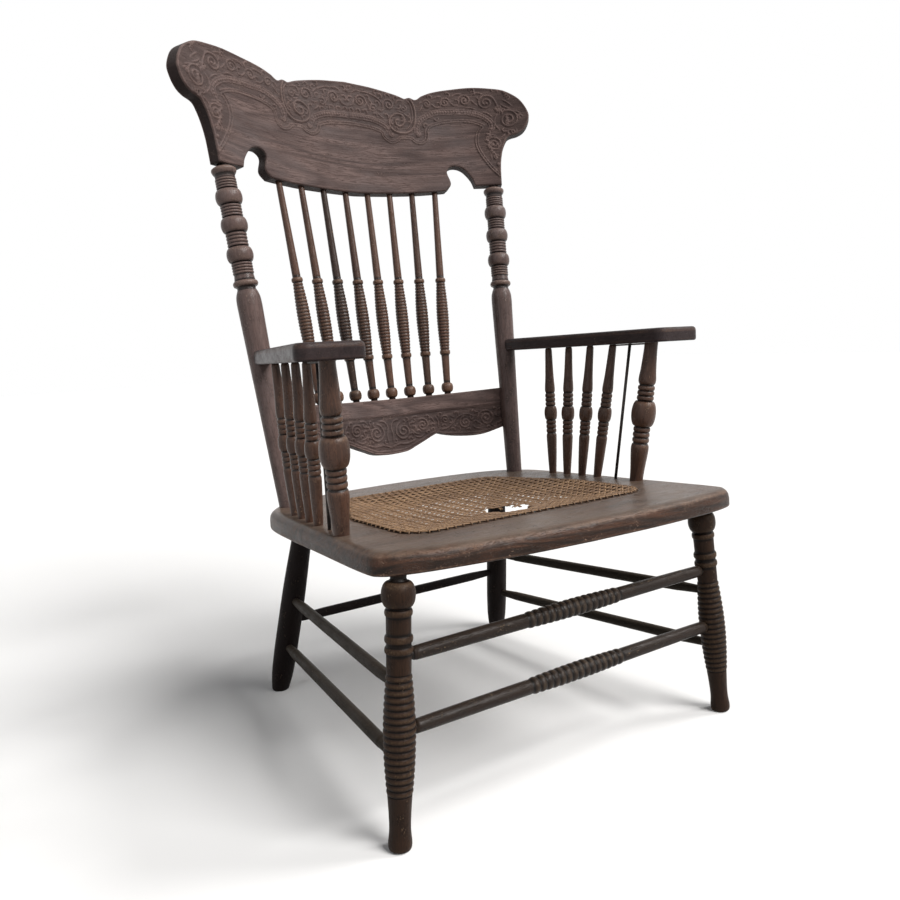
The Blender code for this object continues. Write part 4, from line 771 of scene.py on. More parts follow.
class Carving:
    """Raised lines over a sunk ground, measured on the flat board in metres."""

    def __init__(self):
        self.lines = []
        self.taken = []

    def ridge(self, points, width, height, curve=True, beads=0.0, ease=0.25):
        pts = smooth(points, 8) if curve else np.array(points, float)
        self.taken.append(resample(unrolled(pts), 0.0015))
        for flip in (1, -1):
            both = resample(unrolled(pts * (flip, 1)), 0.0005)
            self.lines.append((both, width, height, beads, ease))

    def scroll(self, x, z, radius, turns, start, way, width=0.0016, height=0.0013):
        self.ridge(spiral(x, z, radius, turns, start, way), width, height, False)
        end = spiral(x, z, radius, turns, start, way)[-1]
        self.ridge([(end[0], end[1]), (end[0] + 0.0002, end[1])], width * 1.7, height * 1.25, False, ease=0.0)

    def fill(self, area, edge, room, size, height):
        """Small curled leaves wherever the carved area still has room."""
        low, high = area.min(0), area.max(0)
        step = room * 0.8
        for j, z in enumerate(np.arange(low[1], high[1], step)):
            for x in np.arange(low[0], high[0], step) + (j % 2) * step / 2:
                spot = np.array([[x, z]])
                if x < 0.003 or not is_inside(spot, area)[0] or nearest(spot, edge)[0][0] < room * 1.05:
                    continue
                d, k = nearest(spot, np.vstack(self.taken))
                if d[0] < room:
                    continue
                near = np.vstack(self.taken)[k[0]] - spot[0]
                turn = math.atan2(near[1], near[0]) + 1.2
                reach = size * min(1.5, d[0] / room)
                leaf = [(x + reach * math.cos(turn + a) * s, z + reach * math.sin(turn + a) * s)
                        for a, s in ((0.0, 1.0), (0.9, 0.75), (2.0, 0.45), (3.1, 0.40), (4.0, 0.15))]
                self.ridge(leaf, 0.0013, height, ease=0.04)

    def height(self, points):
        total = np.zeros(len(points))
        for pts, width, height, bead_pitch, ease in self.lines:
            reach = width * 1.6
            low, high = pts.min(0) - reach, pts.max(0) + reach
            near = np.where(np.all((points > low) & (points < high), axis=1))[0]
            if not len(near):
                continue
            d, k = nearest(points[near], pts)
            t = np.clip(d / width, 0, 1)
            value = height * np.sqrt(np.clip(1 - t * t, 0, 1))
            if bead_pitch:
                phase = (k * 0.0005 + d * 0.35) / bead_pitch
                value *= 0.12 + 0.88 * np.abs(np.sin(np.pi * phase)) ** 0.6
            if ease:
                far = np.minimum(k, len(pts) - 1 - k) * 0.0005
                value *= np.clip(far / (ease * 0.02), 0.25, 1)
            total[near] = np.maximum(total[near], value)
        return total


CREST_OUTLINE = [
    (0.0, 0.0), (0.074, 0.002), (0.118, 0.003), (0.176, 0.0055), (0.187, 0.018), (0.182, 0.041),
    (0.190, 0.0505), (0.202, 0.051), (0.214, 0.0445), (0.226, 0.0275), (0.231, 0.0115), (0.278, 0.0085),
    (0.281, 0.046), (0.286, 0.071), (0.293, 0.090), (0.300, 0.0995), (0.315, 0.103), (0.326, 0.110),
    (0.334, 0.1245), (0.336, 0.141), (0.325, 0.1675), (0.305, 0.186), (0.285, 0.194), (0.245, 0.2005),
    (0.200, 0.1985), (0.170, 0.194), (0.150, 0.187), (0.139, 0.1805), (0.128, 0.1845), (0.118, 0.182),
    (0.095, 0.1905), (0.050, 0.200), (0.0, 0.2045),
]
RAIL_OUTLINE = [
    (0.0, -0.1005), (0.031, -0.098), (0.050, -0.091), (0.067, -0.084), (0.086, -0.0755), (0.098, -0.071),
    (0.115, -0.0765), (0.145, -0.082), (0.182, -0.084), (0.217, -0.0765), (0.236, -0.071), (0.236, 0.0),
]


def whole(half, corners, step):
    """The full outline from its right half; the runs between the named corners are eased."""
    half = np.array(half, float)
    runs, first = [], 0
    marks = sorted(corners) + [len(half) - 1]
    for mark in marks:
        if mark > first:
            run = half[first:mark + 1]
            runs.append(smooth(run, 6)[:-1] if len(run) > 2 else resample(run, step)[:-1])
            first = mark
    right = np.vstack(runs + [half[-1:]])
    left = right[::-1] * (-1, 1)
    if abs(right[-1, 0]) < 1e-6:
        left = left[1:]
    if abs(right[0, 0]) < 1e-6:
        left = left[:-1]
    return resample(unrolled(np.vstack([right, left])), step, True)


def steady(points):
    """Carving read from the chair's right half, set to the mean of both halves."""
    pts = np.array(points, float) / 1000
    x = pts[:, 0]
    drop = np.interp(x, [0.08, 0.20], [0.0, 0.0045])
    return np.stack([x - np.clip(x - 0.2, 0, None) * 0.04, pts[:, 1] - drop], 1)


def centre(x, z):
    p = steady([(x, z)])[0]
    return float(p[0]), float(p[1])


crest = Carving()
rope_side = steady([(134, 117.7), (134.3, 126.5), (140, 139.7), (153, 150), (171.5, 157.7), (194.7, 160),
    (219.9, 159.3), (241.5, 155.9), (259.5, 148.8), (273.9, 136.7), (276.6, 125.9), (271.5, 117)])
rope_mid = steady([(0, 141.8), (13.4, 142.3), (43.7, 140), (61.2, 134.6), (73.9, 127.6), (78.8, 119.2)])
moulding = steady([(0, 127.3), (11.2, 127.1), (41.4, 124.1), (59.1, 119), (64.7, 115.5), (66.7, 108.5),
    (73.4, 101.6), (82, 98.5), (93.1, 102.3), (99.9, 107.8), (112, 108.6), (122.3, 107.3), (128.9, 101.5),
    (140.6, 100), (149.3, 105.9), (152.2, 114.7), (153.5, 124.5), (162.6, 133.7), (186.5, 140.5),
    (215, 142.1), (236.8, 139.6), (251.1, 134.8), (261.2, 129.2)])
side_line = steady([(258.2, 126.6), (248.7, 114.1), (245.7, 96.4), (249.9, 79.6), (258.6, 62.3),
    (270.9, 42.9), (284, 27.5)])


def offset(points, distance):
    pts = smooth(points, 8)
    along = np.gradient(pts, axis=0)
    normal = np.stack([-along[:, 1], along[:, 0]], 1)
    normal /= np.linalg.norm(normal, axis=1)[:, None] + 1e-12
    return pts + normal * distance


for rope in (rope_side, rope_mid):
    crest.ridge(offset(rope, 0.0042), 0.0010, 0.0016, False)
    crest.ridge(offset(rope, -0.0042), 0.0010, 0.0016, False)
    crest.ridge(rope, 0.0027, 0.0021, True, 0.0054)
for path in (moulding, side_line):
    crest.ridge(offset(path, 0.0022), 0.0011, 0.0018, False, ease=0.0)
    crest.ridge(offset(path, -0.0022), 0.0011, 0.0018, False, ease=0.0)
crest.ridge(steady([(126.6, 184.1), (132.6, 173.4), (134.9, 157.3), (132.6, 139.6), (126.3, 126.4),
    (116.4, 118.9), (104.1, 116.6), (92.4, 118.9), (84.2, 125.2), (81.1, 135.2), (85.5, 145.5), (95.5, 152.4),
    (106, 152.2), (112.5, 145.1), (109.6, 134.8), (101.4, 129.6), (94.9, 132.9), (94.7, 140.2),
    (100.4, 143)]), 0.0019, 0.0024)
crest.ridge(offset(steady([(120.6, 181.1), (127.6, 172.4), (129.4, 157.3), (127.6, 142.6), (121.3, 131.4),
    (114.4, 124.9)]), 0.0), 0.0011, 0.0016)
for x, z, radius, turns, begin, way in ((84.2, 113.0, 5.5, 1.2, 2.6, 1), (135.7, 116.5, 5.5, 1.2, 0.6, -1),
        (84.2, 168.7, 12.5, 1.6, 3.6, -1), (27.0, 171.5, 12.5, 1.7, -0.4, 1),
        (113.0, 164.0, 7.0, 1.2, 1.2, -1), (52.0, 160.0, 8.0, 1.3, 0.6, 1), (159.4, 174.5, 8.5, 1.5, 2.8, -1),
        (194.2, 178.0, 10.0, 1.6, 0.2, 1), (232.2, 180.6, 12.0, 1.7, 3.2, -1),
        (270.5, 173.0, 15.5, 1.8, 0.4, 1), (307.2, 136.5, 18.5, 2.0, 2.2, -1),
        (325.5, 138.0, 6.0, 1.2, 0.0, 1), (313.5, 112.6, 6.0, 1.2, 0.8, -1),
        (276.6, 91.6, 14.5, 1.8, 2.4, -1), (277.4, 66.5, 5.5, 1.2, 0.4, 1),
        (279.0, 52.0, 3.6, 1.1, 2.4, -1)):
    cx, cz = centre(x, z)
    crest.scroll(cx, cz, radius / 1000, turns, begin, way, 0.0015 if radius > 8 else 0.0012, 0.0020)
for points in ([(290, 118.2), (283.4, 128.1), (283.4, 140), (289.7, 149.7)], [(282, 186), (288.4, 172.3),
        (293, 156.7), (291.5, 146.6)], [(299, 110), (292.5, 104), (286.5, 99)],
        [(0, 160), (10, 163), (14.5, 172)], [(39.5, 171.5), (44, 160), (46, 152.5)], [(60, 160), (68, 157),
        (74, 160)], [(30, 190), (45, 188), (62, 181), (71, 172)], [(96.5, 168.5), (103, 178), (115, 178.5)],
        [(12, 186), (20, 190.5), (30, 190)], [(60, 152), (66, 146), (72, 143)], [(100, 160), (106, 157),
        (113, 157)], [(141, 158), (146, 163), (151, 171)], [(142, 170), (146, 176), (151, 179)],
        [(168, 176), (176, 169), (186, 170)], [(168, 184), (180, 189), (190, 189)], [(204, 179), (212, 172),
        (221, 174)], [(206, 188), (216, 193.5), (228, 194)], [(244, 181), (250, 174), (255, 170)],
        [(246, 190), (256, 193.5), (268, 190)], [(230, 166), (240, 166), (252, 162)], [(262, 156), (272, 152),
        (280, 144)], [(300, 176), (308, 170), (316, 161)], [(296, 168), (304, 161), (312, 157)],
        [(318, 152), (325, 148), (329, 146)], [(268, 108), (274, 110), (282, 108)], [(286, 96), (284, 88),
        (284, 80)], [(271, 75), (268, 70), (270, 64)], [(281, 44), (281, 38), (283, 34)]):
    crest.ridge(steady(points), 0.0013, 0.0018)
crest_edge = whole(CREST_OUTLINE, [0, 3, 10, 11, 26, 29, 32], 0.0028)
plain_field = np.vstack([smooth(moulding, 4), smooth(side_line, 4)])
carved_area = np.vstack([plain_field, unrolled([(0.281, 0.030), (0.286, 0.071), (0.300, 0.0995),
    (0.326, 0.110), (0.334, 0.130), (0.325, 0.1675), (0.285, 0.194), (0.245, 0.2005), (0.170, 0.194),
    (0.128, 0.182), (0.050, 0.200), (0.0, 0.2045)])])
crest.fill(carved_area, crest_edge, 0.0058, 0.0056, 0.0019)


def is_carved(points):
    """Which places of the crest lie above its plain field."""
    flat = np.stack([np.abs(points[:, 0]), points[:, 1]], 1)
    line_up = np.vstack([smooth(moulding, 4), smooth(side_line, 4), [(0.284, -0.01), (0.0, -0.01)]])
    return ~is_inside(flat, unrolled(line_up))


def crest_height(points, depth):
    """Carving and the sunk ground behind it; the raised value lightens ridge tops as wear and painted
    highlight, and darkens the ground with painted shade.
    """
    value = crest.height(points)
    carved = is_carved(points)
    ground = np.where(carved, -0.0009, 0.0) * np.clip((depth - 0.002) / 0.002, 0, 1)
    fade = np.clip(depth / 0.003, 0, 1)
    value = ground + value * fade
    high = np.clip(value / 0.0014, -0.7, 1.0) * 0.8 + np.clip(0.55 - depth / 0.003, 0, 1)
    return value, np.clip(high, -1, 1)


def bent(local):
    """Bends flat board points to the back's curve and puts them in the world."""
    swing = local[:, 0] / BACK_BEND
    radius = BACK_BEND - local[:, 2]
    pts = np.stack([radius * np.sin(swing), radius * np.cos(swing) - BACK_BEND, local[:, 1]], 1)
    return pts @ np.array(BACK.to_3x3()).T + np.array(BACK.translation)


# The crest's sides get painted shade from a low raised value and tone -1; the carved area has tone 0.3, a
# little lighter.
verts, faces, raised = slab([crest_edge], CREST_THICKNESS, crest_height, 0.00125, 0.0026, side_shade=CREST_SIDE_SHADE)
grain = np.stack([verts[:, 1], verts[:, 2], verts[:, 0] + 0.20 * verts[:, 1]], 1)
piece = add_mesh("crest_rail_look", bent(verts), faces, CREST_WOOD, {
    "grain": grain + 2.0, "raised": raised,
    "tone": np.where(raised == CREST_SIDE_SHADE, -1.0, 0.3 * is_carved(verts))})
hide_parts("crest_rail")

rail_cut = Carving()
rail_cut.ridge([(0.0, -0.0300), (0.060, -0.0300), (0.120, -0.0300), (0.232, -0.0300)], 0.0011, 0.0010,
    ease=0.0)
for x, z, radius, turns, begin, way in ((0.028, -0.0605, 0.0175, 2.0, 1.7, 1),
        (0.069, -0.0530, 0.0130, 1.8, 2.6, -1), (0.115, -0.0480, 0.0095, 1.5, 3.6, -1),
        (0.154, -0.0580, 0.0125, 1.7, 1.4, 1), (0.195, -0.0540, 0.0170, 2.0, 3.3, -1)):
    rail_cut.scroll(x, z, radius, turns, begin, way, 0.0015, 0.0021)
for points in (
    [(0.0045, -0.080), (0.006, -0.066), (0.0035, -0.050), (0.010, -0.040), (0.022, -0.038)],
    [(0.0, -0.088), (0.016, -0.083), (0.034, -0.084), (0.052, -0.078)],
    [(0.0, -0.060), (0.005, -0.059)], [(0.046, -0.060), (0.052, -0.067), (0.062, -0.070)],
    [(0.050, -0.072), (0.060, -0.075), (0.070, -0.071)], [(0.044, -0.042), (0.052, -0.036), (0.062, -0.037)],
    [(0.086, -0.040), (0.092, -0.048), (0.094, -0.058)], [(0.096, -0.040), (0.101, -0.050), (0.100, -0.062)],
    [(0.104, -0.066), (0.118, -0.064), (0.130, -0.056), (0.141, -0.046), (0.158, -0.042), (0.172, -0.048)],
    [(0.126, -0.041), (0.134, -0.046)], [(0.168, -0.066), (0.176, -0.072), (0.186, -0.073)],
    [(0.106, -0.0715), (0.145, -0.0765), (0.182, -0.0785), (0.214, -0.0725), (0.228, -0.068)],
    [(0.0, -0.0945), (0.030, -0.0925), (0.048, -0.086), (0.066, -0.079), (0.084, -0.0705), (0.096, -0.0665)],
    [(0.214, -0.046), (0.220, -0.040), (0.226, -0.038)],
):
    rail_cut.ridge([(x, z) for x, z in points], 0.0013, 0.0018)
rail_edge = whole([(x, z) for x, z in RAIL_OUTLINE], [0, 5, 10, 11], 0.0028)
rail_area = unrolled([(0.0, -0.032), (0.230, -0.032), (0.230, -0.070), (0.182, -0.082), (0.098, -0.070),
    (0.050, -0.088), (0.0, -0.097)])
rail_cut.fill(rail_area, rail_edge, 0.0052, 0.0050, 0.0018)


def rail_height(points, depth):
    local = points - (0, RAIL_TOP)
    value = rail_cut.height(local)
    under = np.clip((-0.0285 - local[:, 1]) / 0.001, 0, 1)
    ground = -0.0016 * under * np.clip((depth - 0.001) / 0.003, 0, 1)
    value = ground + value * np.clip(depth / 0.002, 0.3, 1)
    # Ridge tops and edges get the worn colour, partly a painted highlight; the carved ground is darkened with
    # painted shade.
    high = np.clip((value + 0.0004) / 0.0013, -0.7, 1.0) * 0.75 * under + np.clip(0.8 - depth / 0.003, 0, 1)
    return value, np.clip(high, -1, 1)


half = [(x, RAIL_TOP + z) for x, z in RAIL_OUTLINE]
outline = whole(half, [0, 5, 10, 11], 0.0028)
# The rail's sides get painted shade from their low raised value.
verts, faces, raised = slab([outline], RAIL_THICKNESS, rail_height, 0.00125, 0.0018, side_shade=-0.2)
grain = np.stack([verts[:, 1], verts[:, 2], verts[:, 0]], 1)
piece = add_mesh("lower_back_rail_look", bent(verts), faces, CREST_WOOD,
    {"grain": grain + 5.0, "raised": raised})
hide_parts("lower_back_rail")


# ---------------------------------------------------------------- seat, cane and arms
def rounded(points, radius, steps=10):
    out, count = [], len(points)
    for i, corner in enumerate(points):
        corner = Vector(corner)
        before = (Vector(points[i - 1]) - corner).normalized()
        after = (Vector(points[(i + 1) % count]) - corner).normalized()
        opening = before.angle(after)
        if opening > math.radians(175):
            out.append(tuple(corner))
            continue
        reach = radius / math.tan(opening / 2)
        middle = corner + (before + after).normalized() * (radius / math.sin(opening / 2))
        first, last = corner + before * reach - middle, corner + after * reach - middle
        a0 = math.atan2(first.y, first.x)
        turn = (math.atan2(last.y, last.x) - a0 + math.pi) % math.tau - math.pi
        out += [(middle.x + radius * math.cos(a0 + turn * k / steps),
            middle.y + radius * math.sin(a0 + turn * k / steps)) for k in range(steps + 1)]
    return np.array(out)


def seat_outline():
    front_edge = SEAT_FRONT_Y + SEAT_BOW
    half = [(0.0, SEAT_FRONT_Y), (SEAT_HALF_FRONT * 0.36, SEAT_FRONT_Y + SEAT_BOW * 0.13),
        (SEAT_HALF_FRONT * 0.70, SEAT_FRONT_Y + SEAT_BOW * 0.52),
        (SEAT_HALF_FRONT - SEAT_CORNER, front_edge - 0.003),
        (SEAT_HALF_FRONT - SEAT_CORNER * 0.22, front_edge + SEAT_CORNER * 0.35),
        (SEAT_HALF_FRONT, front_edge + SEAT_CORNER * 1.3),
        (SEAT_HALF_MIDDLE, (SEAT_SHOULDER_Y + SEAT_FRONT_Y) / 2), (SEAT_HALF_MIDDLE - 0.012, SEAT_SHOULDER_Y),
        (SEAT_HALF_MIDDLE * 0.86, SEAT_SHOULDER_Y + 0.52 * (SEAT_BACK_Y - SEAT_SHOULDER_Y)),
        (SEAT_HALF_MIDDLE * 0.70, SEAT_SHOULDER_Y + 0.79 * (SEAT_BACK_Y - SEAT_SHOULDER_Y)),
        (SEAT_HALF_MIDDLE * 0.42, SEAT_SHOULDER_Y + 0.94 * (SEAT_BACK_Y - SEAT_SHOULDER_Y)),
        (0.0, SEAT_BACK_Y)]
    right = smooth(half, 8)
    points = np.vstack([right, right[-2:0:-1] * (-1, 1)])
    front = np.clip((SEAT_SHOULDER_Y - points[:, 1]) / (SEAT_SHOULDER_Y - SEAT_FRONT_Y), 0, None) ** 2
    share = points[:, 0] / SEAT_HALF_FRONT
    reach = SEAT_RIGHT_REACH * front * np.clip(share, 0, None)
    moved = points + np.stack([reach, -SEAT_SKEW * front * share - reach * np.clip(share, 0, None)], 1)
    return resample(moved, 0.005, True)


def cane_outline(inset):
    front_x, back_x = CANE_HALF_FRONT - inset, CANE_HALF_BACK - inset
    front_y, back_y = CANE_FRONT_Y + inset, CANE_BACK_Y - inset
    corners = [(-front_x, front_y), (0.0, front_y), (front_x, front_y), (front_x, front_y * 0.25),
        (back_x, back_y), (-back_x, back_y), (-front_x, front_y * 0.25)]
    return rounded(corners, CANE_CORNER - inset)


SEAT_TILT = Matrix.Translation((0, 0, SEAT_TOP)) @ Matrix.Rotation(-SEAT_SLOPE, 4, "X")


def placed(local, matrix):
    return local @ np.array(matrix.to_3x3()).T + np.array(matrix.translation)


drill_line = resample(cane_outline(DRILL_INSET), PITCH, True)
drill_holes = [np.array([(x + DRILL_RADIUS * math.cos(a), y + DRILL_RADIUS * math.sin(a))
    for a in np.linspace(0, math.tau, 8, endpoint=False)]) for x, y in drill_line]
inner = resample(cane_outline(CANE_LAP), 0.006, True)


def seat_height(points, depth):
    outer_distance, _ = nearest(points, resample(seat_outline(), 0.004, True))
    front = np.clip((-0.15 - points[:, 1]) / 0.05, 0, 1)
    # A painted highlight along the rolled front, about 5 mm in from the outline and strongest at the front,
    # given as a raised value so that the wood's worn colour paints it.
    high = (0.35 + 0.60 * front) * np.exp(-((outer_distance - 0.0048) / 0.0024) ** 2)
    high += np.clip(0.4 - depth / 0.002, 0, 1) * (outer_distance > 0.03)
    return np.zeros(len(points)), np.clip(high, -1, 1)


# The seat's sides get painted shade: a low raised value and tone -0.55.
verts, faces, raised = slab([seat_outline(), inner] + drill_holes, SEAT_THICKNESS, seat_height, 0.010, 0.0125,
    0.0150, 0.014, 0.003, -0.05)
local = verts - (0, 0, SEAT_THICKNESS / 2)
grain = np.stack([verts[:, 1], verts[:, 2], verts[:, 0]], 1)
piece = add_mesh("seat_frame_look", placed(local, SEAT_TILT), faces, SEAT_WOOD,
                 {"grain": grain + 8.0, "raised": raised, "tone": np.where(raised == -0.05, -0.55, 0.0)})
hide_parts("seat_frame")


def arm_outline(side):
    low, high = post_axis[side]
    joint = at_height(low, high, ARM_UNDER)
    joint_x, post_x, post_y = abs(joint.x), 0.2815, -0.164
    corners = [(joint_x - 0.0103, joint.y - 0.014), (post_x - 0.0335, post_y - 0.050),
        (post_x + 0.0605, post_y - 0.050), (joint_x + 0.0137, joint.y - 0.008)]
    front = rounded(corners, 0.015)[11:33]
    outline = np.vstack([[corners[0]], front, [corners[3]]])
    return resample(outline, 0.004, True) * (side, 1)


for side, word in ((-1, "left"), (1, "right")):
    verts, faces, raised = slab([arm_outline(side)], ARM_THICKNESS, edge_only, 0.007, 0.0055, 0.0065, 0.010,
        0.0035)
    tilt = Matrix.Translation((0, 0, ARM_UNDER + ARM_THICKNESS / 2)) @ Matrix.Rotation(-ARM_SLOPE, 4, "X")
    grain = np.stack([verts[:, 0], verts[:, 2], verts[:, 1]], 1)
    piece = add_mesh(f"arm_{word}_look", placed(verts, tilt), faces, ARM_WOOD,
        {"grain": grain + 11.0 + side, "raised": raised})
    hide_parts(f"arm_{word}")


# Cane: pairs of strands both ways, single strands on both diagonals, and the tear.
def sagged(points, height):
    """The seat has stretched, so the weave hangs lower away from the board."""
    inward = nearest(points, cane_line)[0]
    share = np.clip((inward - CANE_LAP) / SAG_REACH, 0, 1)
    return height - SAG_DEPTH * (1 - (1 - share) ** 2)


cane_line = resample(cane_outline(0.0), 0.003, True)
limit = cane_outline(DRILL_INSET)


def torn(points, diagonal):
    """Where a strand is missing: in the ragged tear, and for the diagonals a little beyond its two ends."""
    x, y = points[:, 0] - TEAR_X, points[:, 1] - (TEAR_Y + TEAR_BACK)
    turn = np.arctan2(y / 0.022, x / 0.026)
    ragged = 1 + 0.16 * np.sin(3 * turn + 0.7) + 0.12 * np.sin(7 * turn)
    gone = (x / 0.031) ** 2 + ((y - 0.003) / 0.032) ** 2 < ragged ** 2
    if diagonal:
        gone |= (x / 0.040) ** 2 + (y / 0.038) ** 2 < 1
        gone |= ((x - 0.040) / 0.022) ** 2 + ((y + 0.003) / 0.014) ** 2 < 1
        gone |= ((x + 0.040) / 0.022) ** 2 + ((y - 0.012) / 0.016) ** 2 < 1
    return gone


def strands(name, lines, width, thickness, height_of, diagonal):
    """Flat strands along straight lines, cut to the seat's opening and to the tear."""
    verts, faces, grain, own = [], [], [], []
    for a, b in lines:
        a, b = np.array(a), np.array(b)
        length = np.linalg.norm(b - a)
        t = np.arange(0, length, STRAND_STEP)
        pts = a + (b - a) / length * t[:, None]
        ok = is_inside(pts, limit) & ~torn(pts, diagonal)
        shade = chance.uniform(0.1, 1.0)
        runs, begin = [], None
        for i, good in enumerate(list(ok) + [False]):
            if good and begin is None:
                begin = i
            elif not good and begin is not None:
                if i - begin > 2:
                    runs.append((begin, i))
                begin = None
        along = (b - a) / length
        across = np.array([-along[1], along[0]]) * width / 2
        for begin, stop in runs:
            p = pts[begin:stop]
            z = sagged(p, height_of(p))
            for end, where in ((0, begin), (len(p) - 1, stop - 1)):
                tear_x, tear_y = p[end][0] - TEAR_X, p[end][1] - (TEAR_Y + HANGING_BACK)
                if (tear_x / HANGING_HALF[0]) ** 2 + (tear_y / HANGING_HALF[1]) ** 2 < 1:
                    far = np.abs(np.arange(len(p)) - end) * STRAND_STEP
                    z = z - chance.uniform(0.001, 0.004) * np.clip(1 - far / 0.014, 0, 1) ** 2
            first = len(verts)
            for q, h in zip(p, z):
                for s, up in ((-1, 0), (-0.62, 1), (0.62, 1), (1, 0)):
                    verts.append((q[0] + across[0] * s, q[1] + across[1] * s, h + up * thickness))
                    grain.append((q[0], q[1], shade * 3))
                    own.append(shade)
            for i in range(len(p) - 1):
                k = first + 4 * i
                faces += [(k, k + 1, k + 5, k + 4), (k + 1, k + 2, k + 6, k + 5),
                    (k + 2, k + 3, k + 7, k + 6), (k + 3, k, k + 4, k + 7)]
    piece = add_mesh(name, placed(np.array(verts), SEAT_TILT), faces, CANE_MATERIAL,
        {"grain": grain, "own": own})
    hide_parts("cane_panel")


reach = 0.26
middle_y = (CANE_FRONT_Y + CANE_BACK_Y) / 2
count = int(reach / PITCH) + 1
columns = [i * PITCH + s for i in range(-count, count + 1) for s in (-PAIR_SPREAD, PAIR_SPREAD)]
rows = [middle_y + i * PITCH + s for i in range(-count, count + 1) for s in (-PAIR_SPREAD, PAIR_SPREAD)]
wave = math.tau / PITCH
strands("cane_up_strands", [((x, CANE_FRONT_Y), (x, CANE_BACK_Y)) for x in columns], STRAND_WIDTH, 0.0010,
        lambda p: 0.0004 + 0.0003 * np.sin(wave / 2 * (p[:, 1] - middle_y)), False)
strands("cane_cross_strands", [((-reach, y), (reach, y)) for y in rows], STRAND_WIDTH, 0.0011,
        lambda p: 0.0007 - 0.0003 * np.sin(wave / 2 * p[:, 0]), False)
span = 0.62
falling, rising = [], []
for k in range(-40, 41):
    x0 = (k + 0.5) * PITCH
    rising.append(((x0 - span / 2, middle_y - span / 2), (x0 + span / 2, middle_y + span / 2)))
    falling.append(((x0 - span / 2, middle_y + span / 2), (x0 + span / 2, middle_y - span / 2)))
strands("cane_rising_strands", rising, DIAGONAL_WIDTH, 0.0007,
    lambda p: 0.0011 + 0.0008 * np.cos(wave * p[:, 0]), True)
strands("cane_falling_strands", falling, DIAGONAL_WIDTH, 0.0007,
    lambda p: 0.0011 - 0.0008 * np.cos(wave * p[:, 0]), True)

# The loops that hold the edge, one at each drilled hole, and the strand they tie down.
verts, faces, grain, own = [], [], [], []


def bar(points, radius, flatness=0.6):
    """A small round strand along points in the seat's own frame."""
    points = np.array(points)
    shade = chance.uniform(0.0, 0.8)
    first = len(verts)
    along = np.gradient(points, axis=0)
    along /= np.linalg.norm(along, axis=1)[:, None]
    side = np.cross(along, (0, 0, 1.0))
    side /= np.linalg.norm(side, axis=1)[:, None] + 1e-9
    up = np.cross(side, along)
    for p, s, u in zip(points, side, up):
        for k in range(6):
            a = k * math.tau / 6
            verts.append(tuple(p + s * radius * math.cos(a) + u * radius * flatness * math.sin(a)))
            grain.append((p[0], p[1], shade * 3))
            own.append(shade)
    for i in range(len(points) - 1):
        for k in range(6):
            a, b = first + 6 * i + k, first + 6 * i + (k + 1) % 6
            faces.append((a, b, b + 6, a + 6))


binder = resample(cane_outline(0.0046), 0.004, True)
binder = np.vstack([binder, binder[:1]])
bar([(x, y, 0.0014 + 0.0004 * math.sin(i * 1.98)) for i, (x, y) in enumerate(binder)], 0.0015, 0.55)
direction = np.roll(drill_line, -1, 0) - np.roll(drill_line, 1, 0)
direction /= np.linalg.norm(direction, axis=1)[:, None]
for (x, y), (dx, dy) in zip(drill_line, direction):
    nx, ny = dy, -dx
    arc = []
    for t in np.linspace(0, math.pi, 7):
        away = 0.0026 * math.cos(t)
        arc.append((x + nx * away + dx * 0.0009 * math.cos(t), y + ny * away + dy * 0.0009 * math.cos(t),
            0.0026 * math.sin(t) - 0.0004))
    bar(arc, 0.0009, 0.8)
piece = add_mesh("cane_edge_loops", placed(np.array(verts), SEAT_TILT), faces, CANE_MATERIAL,
    {"grain": grain, "own": own})
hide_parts("cane_panel")

for word in ("left", "right"):
    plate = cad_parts[f"rod_plate_{word}"]
    plate.data.materials.clear()
    plate.data.materials.append(IRON_MATERIAL)

# ---------------------------------------------------------------- camera, light and floor
IMAGE_PX, FOCAL_PX, SHIFT_PX = 900, 804.8, (-13, -3)
SENSOR_MM = 36.0
CAMERA_PLACE = (-0.68917, -1.08036, 0.59105)
CAMERA_TURN = (33.254, -7.573, -2.611)

scene = bpy.context.scene
yaw, pitch, roll = (math.radians(a) for a in CAMERA_TURN)
forward = Vector((math.sin(yaw) * math.cos(pitch), math.cos(yaw) * math.cos(pitch), math.sin(pitch)))
level = Vector((math.cos(yaw), -math.sin(yaw), 0))
upward = level.cross(forward)
right = level * math.cos(roll) + upward * math.sin(roll)
top = -level * math.sin(roll) + upward * math.cos(roll)
camera_data = bpy.data.cameras.new("camera")
camera_data.sensor_width = SENSOR_MM
camera_data.lens = FOCAL_PX / IMAGE_PX * SENSOR_MM
camera_data.shift_x, camera_data.shift_y = (shift / IMAGE_PX for shift in SHIFT_PX)
camera_data.clip_start, camera_data.clip_end = 0.05, 60
camera = bpy.data.objects.new("camera", camera_data)
camera.matrix_world = Matrix.Translation(CAMERA_PLACE) @ Matrix((right, top, -forward)).transposed().to_4x4()
scene.collection.objects.link(camera)
scene.camera = camera


def seen_directly(tree):
    """1 for what the camera or a reflection sees, and 0 for light that bounces."""
    rays = tree.nodes.new("ShaderNodeLightPath")
    seen = tree.nodes.new("ShaderNodeMath")
    seen.operation = "MAXIMUM"
    tree.links.new(rays.outputs["Is Camera Ray"], seen.inputs[0])
    tree.links.new(rays.outputs["Is Glossy Ray"], seen.inputs[1])
    return seen.outputs[0]


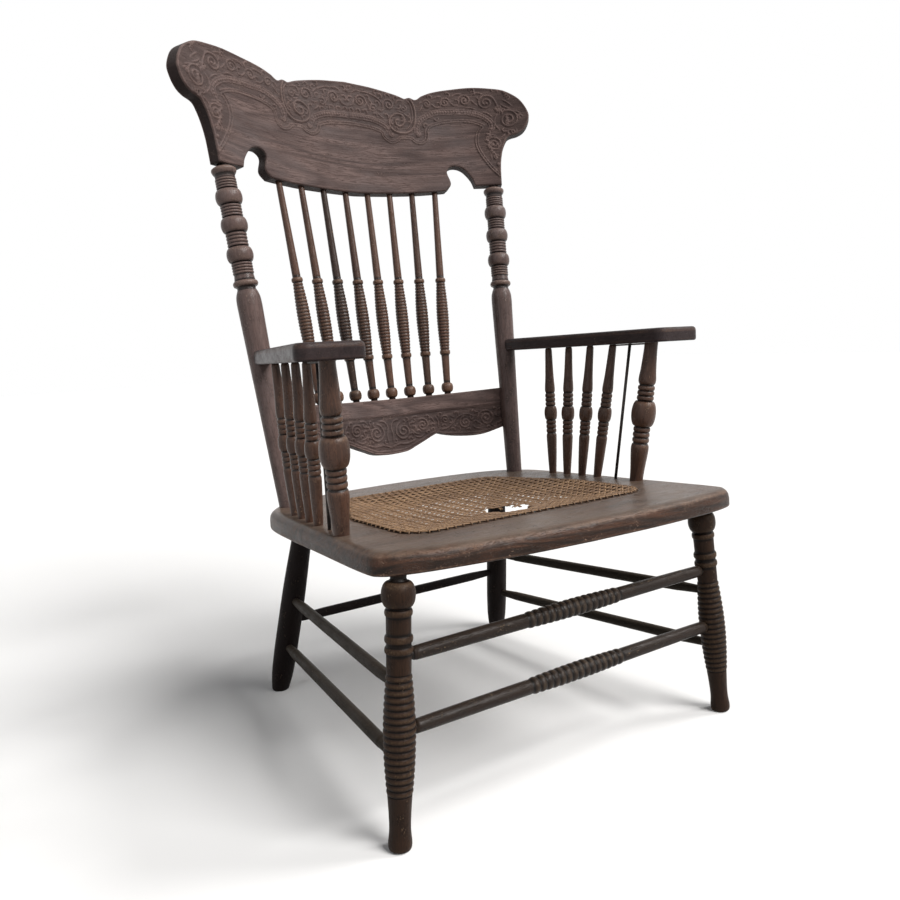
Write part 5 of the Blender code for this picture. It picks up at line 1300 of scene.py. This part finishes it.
floor_mesh = bpy.data.meshes.new("floor")
FLOOR = 14
floor_mesh.from_pydata(
    [(-FLOOR, -FLOOR, 0), (FLOOR, -FLOOR, 0), (FLOOR, FLOOR, 0), (-FLOOR, FLOOR, 0)], [], [(0, 1, 2, 3)])
floor = bpy.data.objects.new("floor", floor_mesh)
scene.collection.objects.link(floor)
floor_finish = bpy.data.materials.new("white_floor")
floor_finish.use_nodes = True
tree = floor_finish.node_tree
floor_shader = tree.nodes["Principled BSDF"]
tint = tree.nodes.new("ShaderNodeMix")
tint.data_type = "RGBA"
tree.links.new(seen_directly(tree), tint.inputs[0])
tint.inputs[6].default_value = (0.30, 0.30, 0.30, 1)
tint.inputs[7].default_value = (0.95, 0.95, 0.95, 1)
tree.links.new(tint.outputs[2], floor_shader.inputs["Base Color"])
floor_shader.inputs["Roughness"].default_value = 0.9
floor_shader.inputs["Specular IOR Level"].default_value = 0.0
floor_mesh.materials.append(floor_finish)

world = bpy.data.worlds.new("studio")
world.use_nodes = True
tree = world.node_tree
background = tree.nodes["Background"]
background.inputs["Color"].default_value = (1, 1, 1, 1)
strength = tree.nodes.new("ShaderNodeMapRange")
strength.inputs["To Min"].default_value = 0.15
strength.inputs["To Max"].default_value = 1.0
tree.links.new(seen_directly(tree), strength.inputs["Value"])
tree.links.new(strength.outputs[0], background.inputs["Strength"])
scene.world = world


def sun(name, direction, angle, strength, colour=(1, 1, 1)):
    """A soft light from far away, shining along a direction."""
    data = bpy.data.lights.new(name, "SUN")
    data.angle = math.radians(angle)
    data.energy = strength
    data.color = colour
    holder = bpy.data.objects.new(name, data)
    holder.rotation_mode = "QUATERNION"
    holder.rotation_quaternion = Vector(direction).to_track_quat("-Z", "Y")
    scene.collection.objects.link(holder)


sun("key", (-0.36, 0.80, -0.78), 34, 3.4, (1.0, 0.985, 0.965))
sun("right_soft", (-0.657, 0.234, -0.719), 14, 1.1, (1.0, 0.985, 0.965))
sun("left_fill", (0.85, 0.25, -0.45), 60, 0.40, (0.95, 0.97, 1.0))

scene.view_settings.view_transform = "Standard"
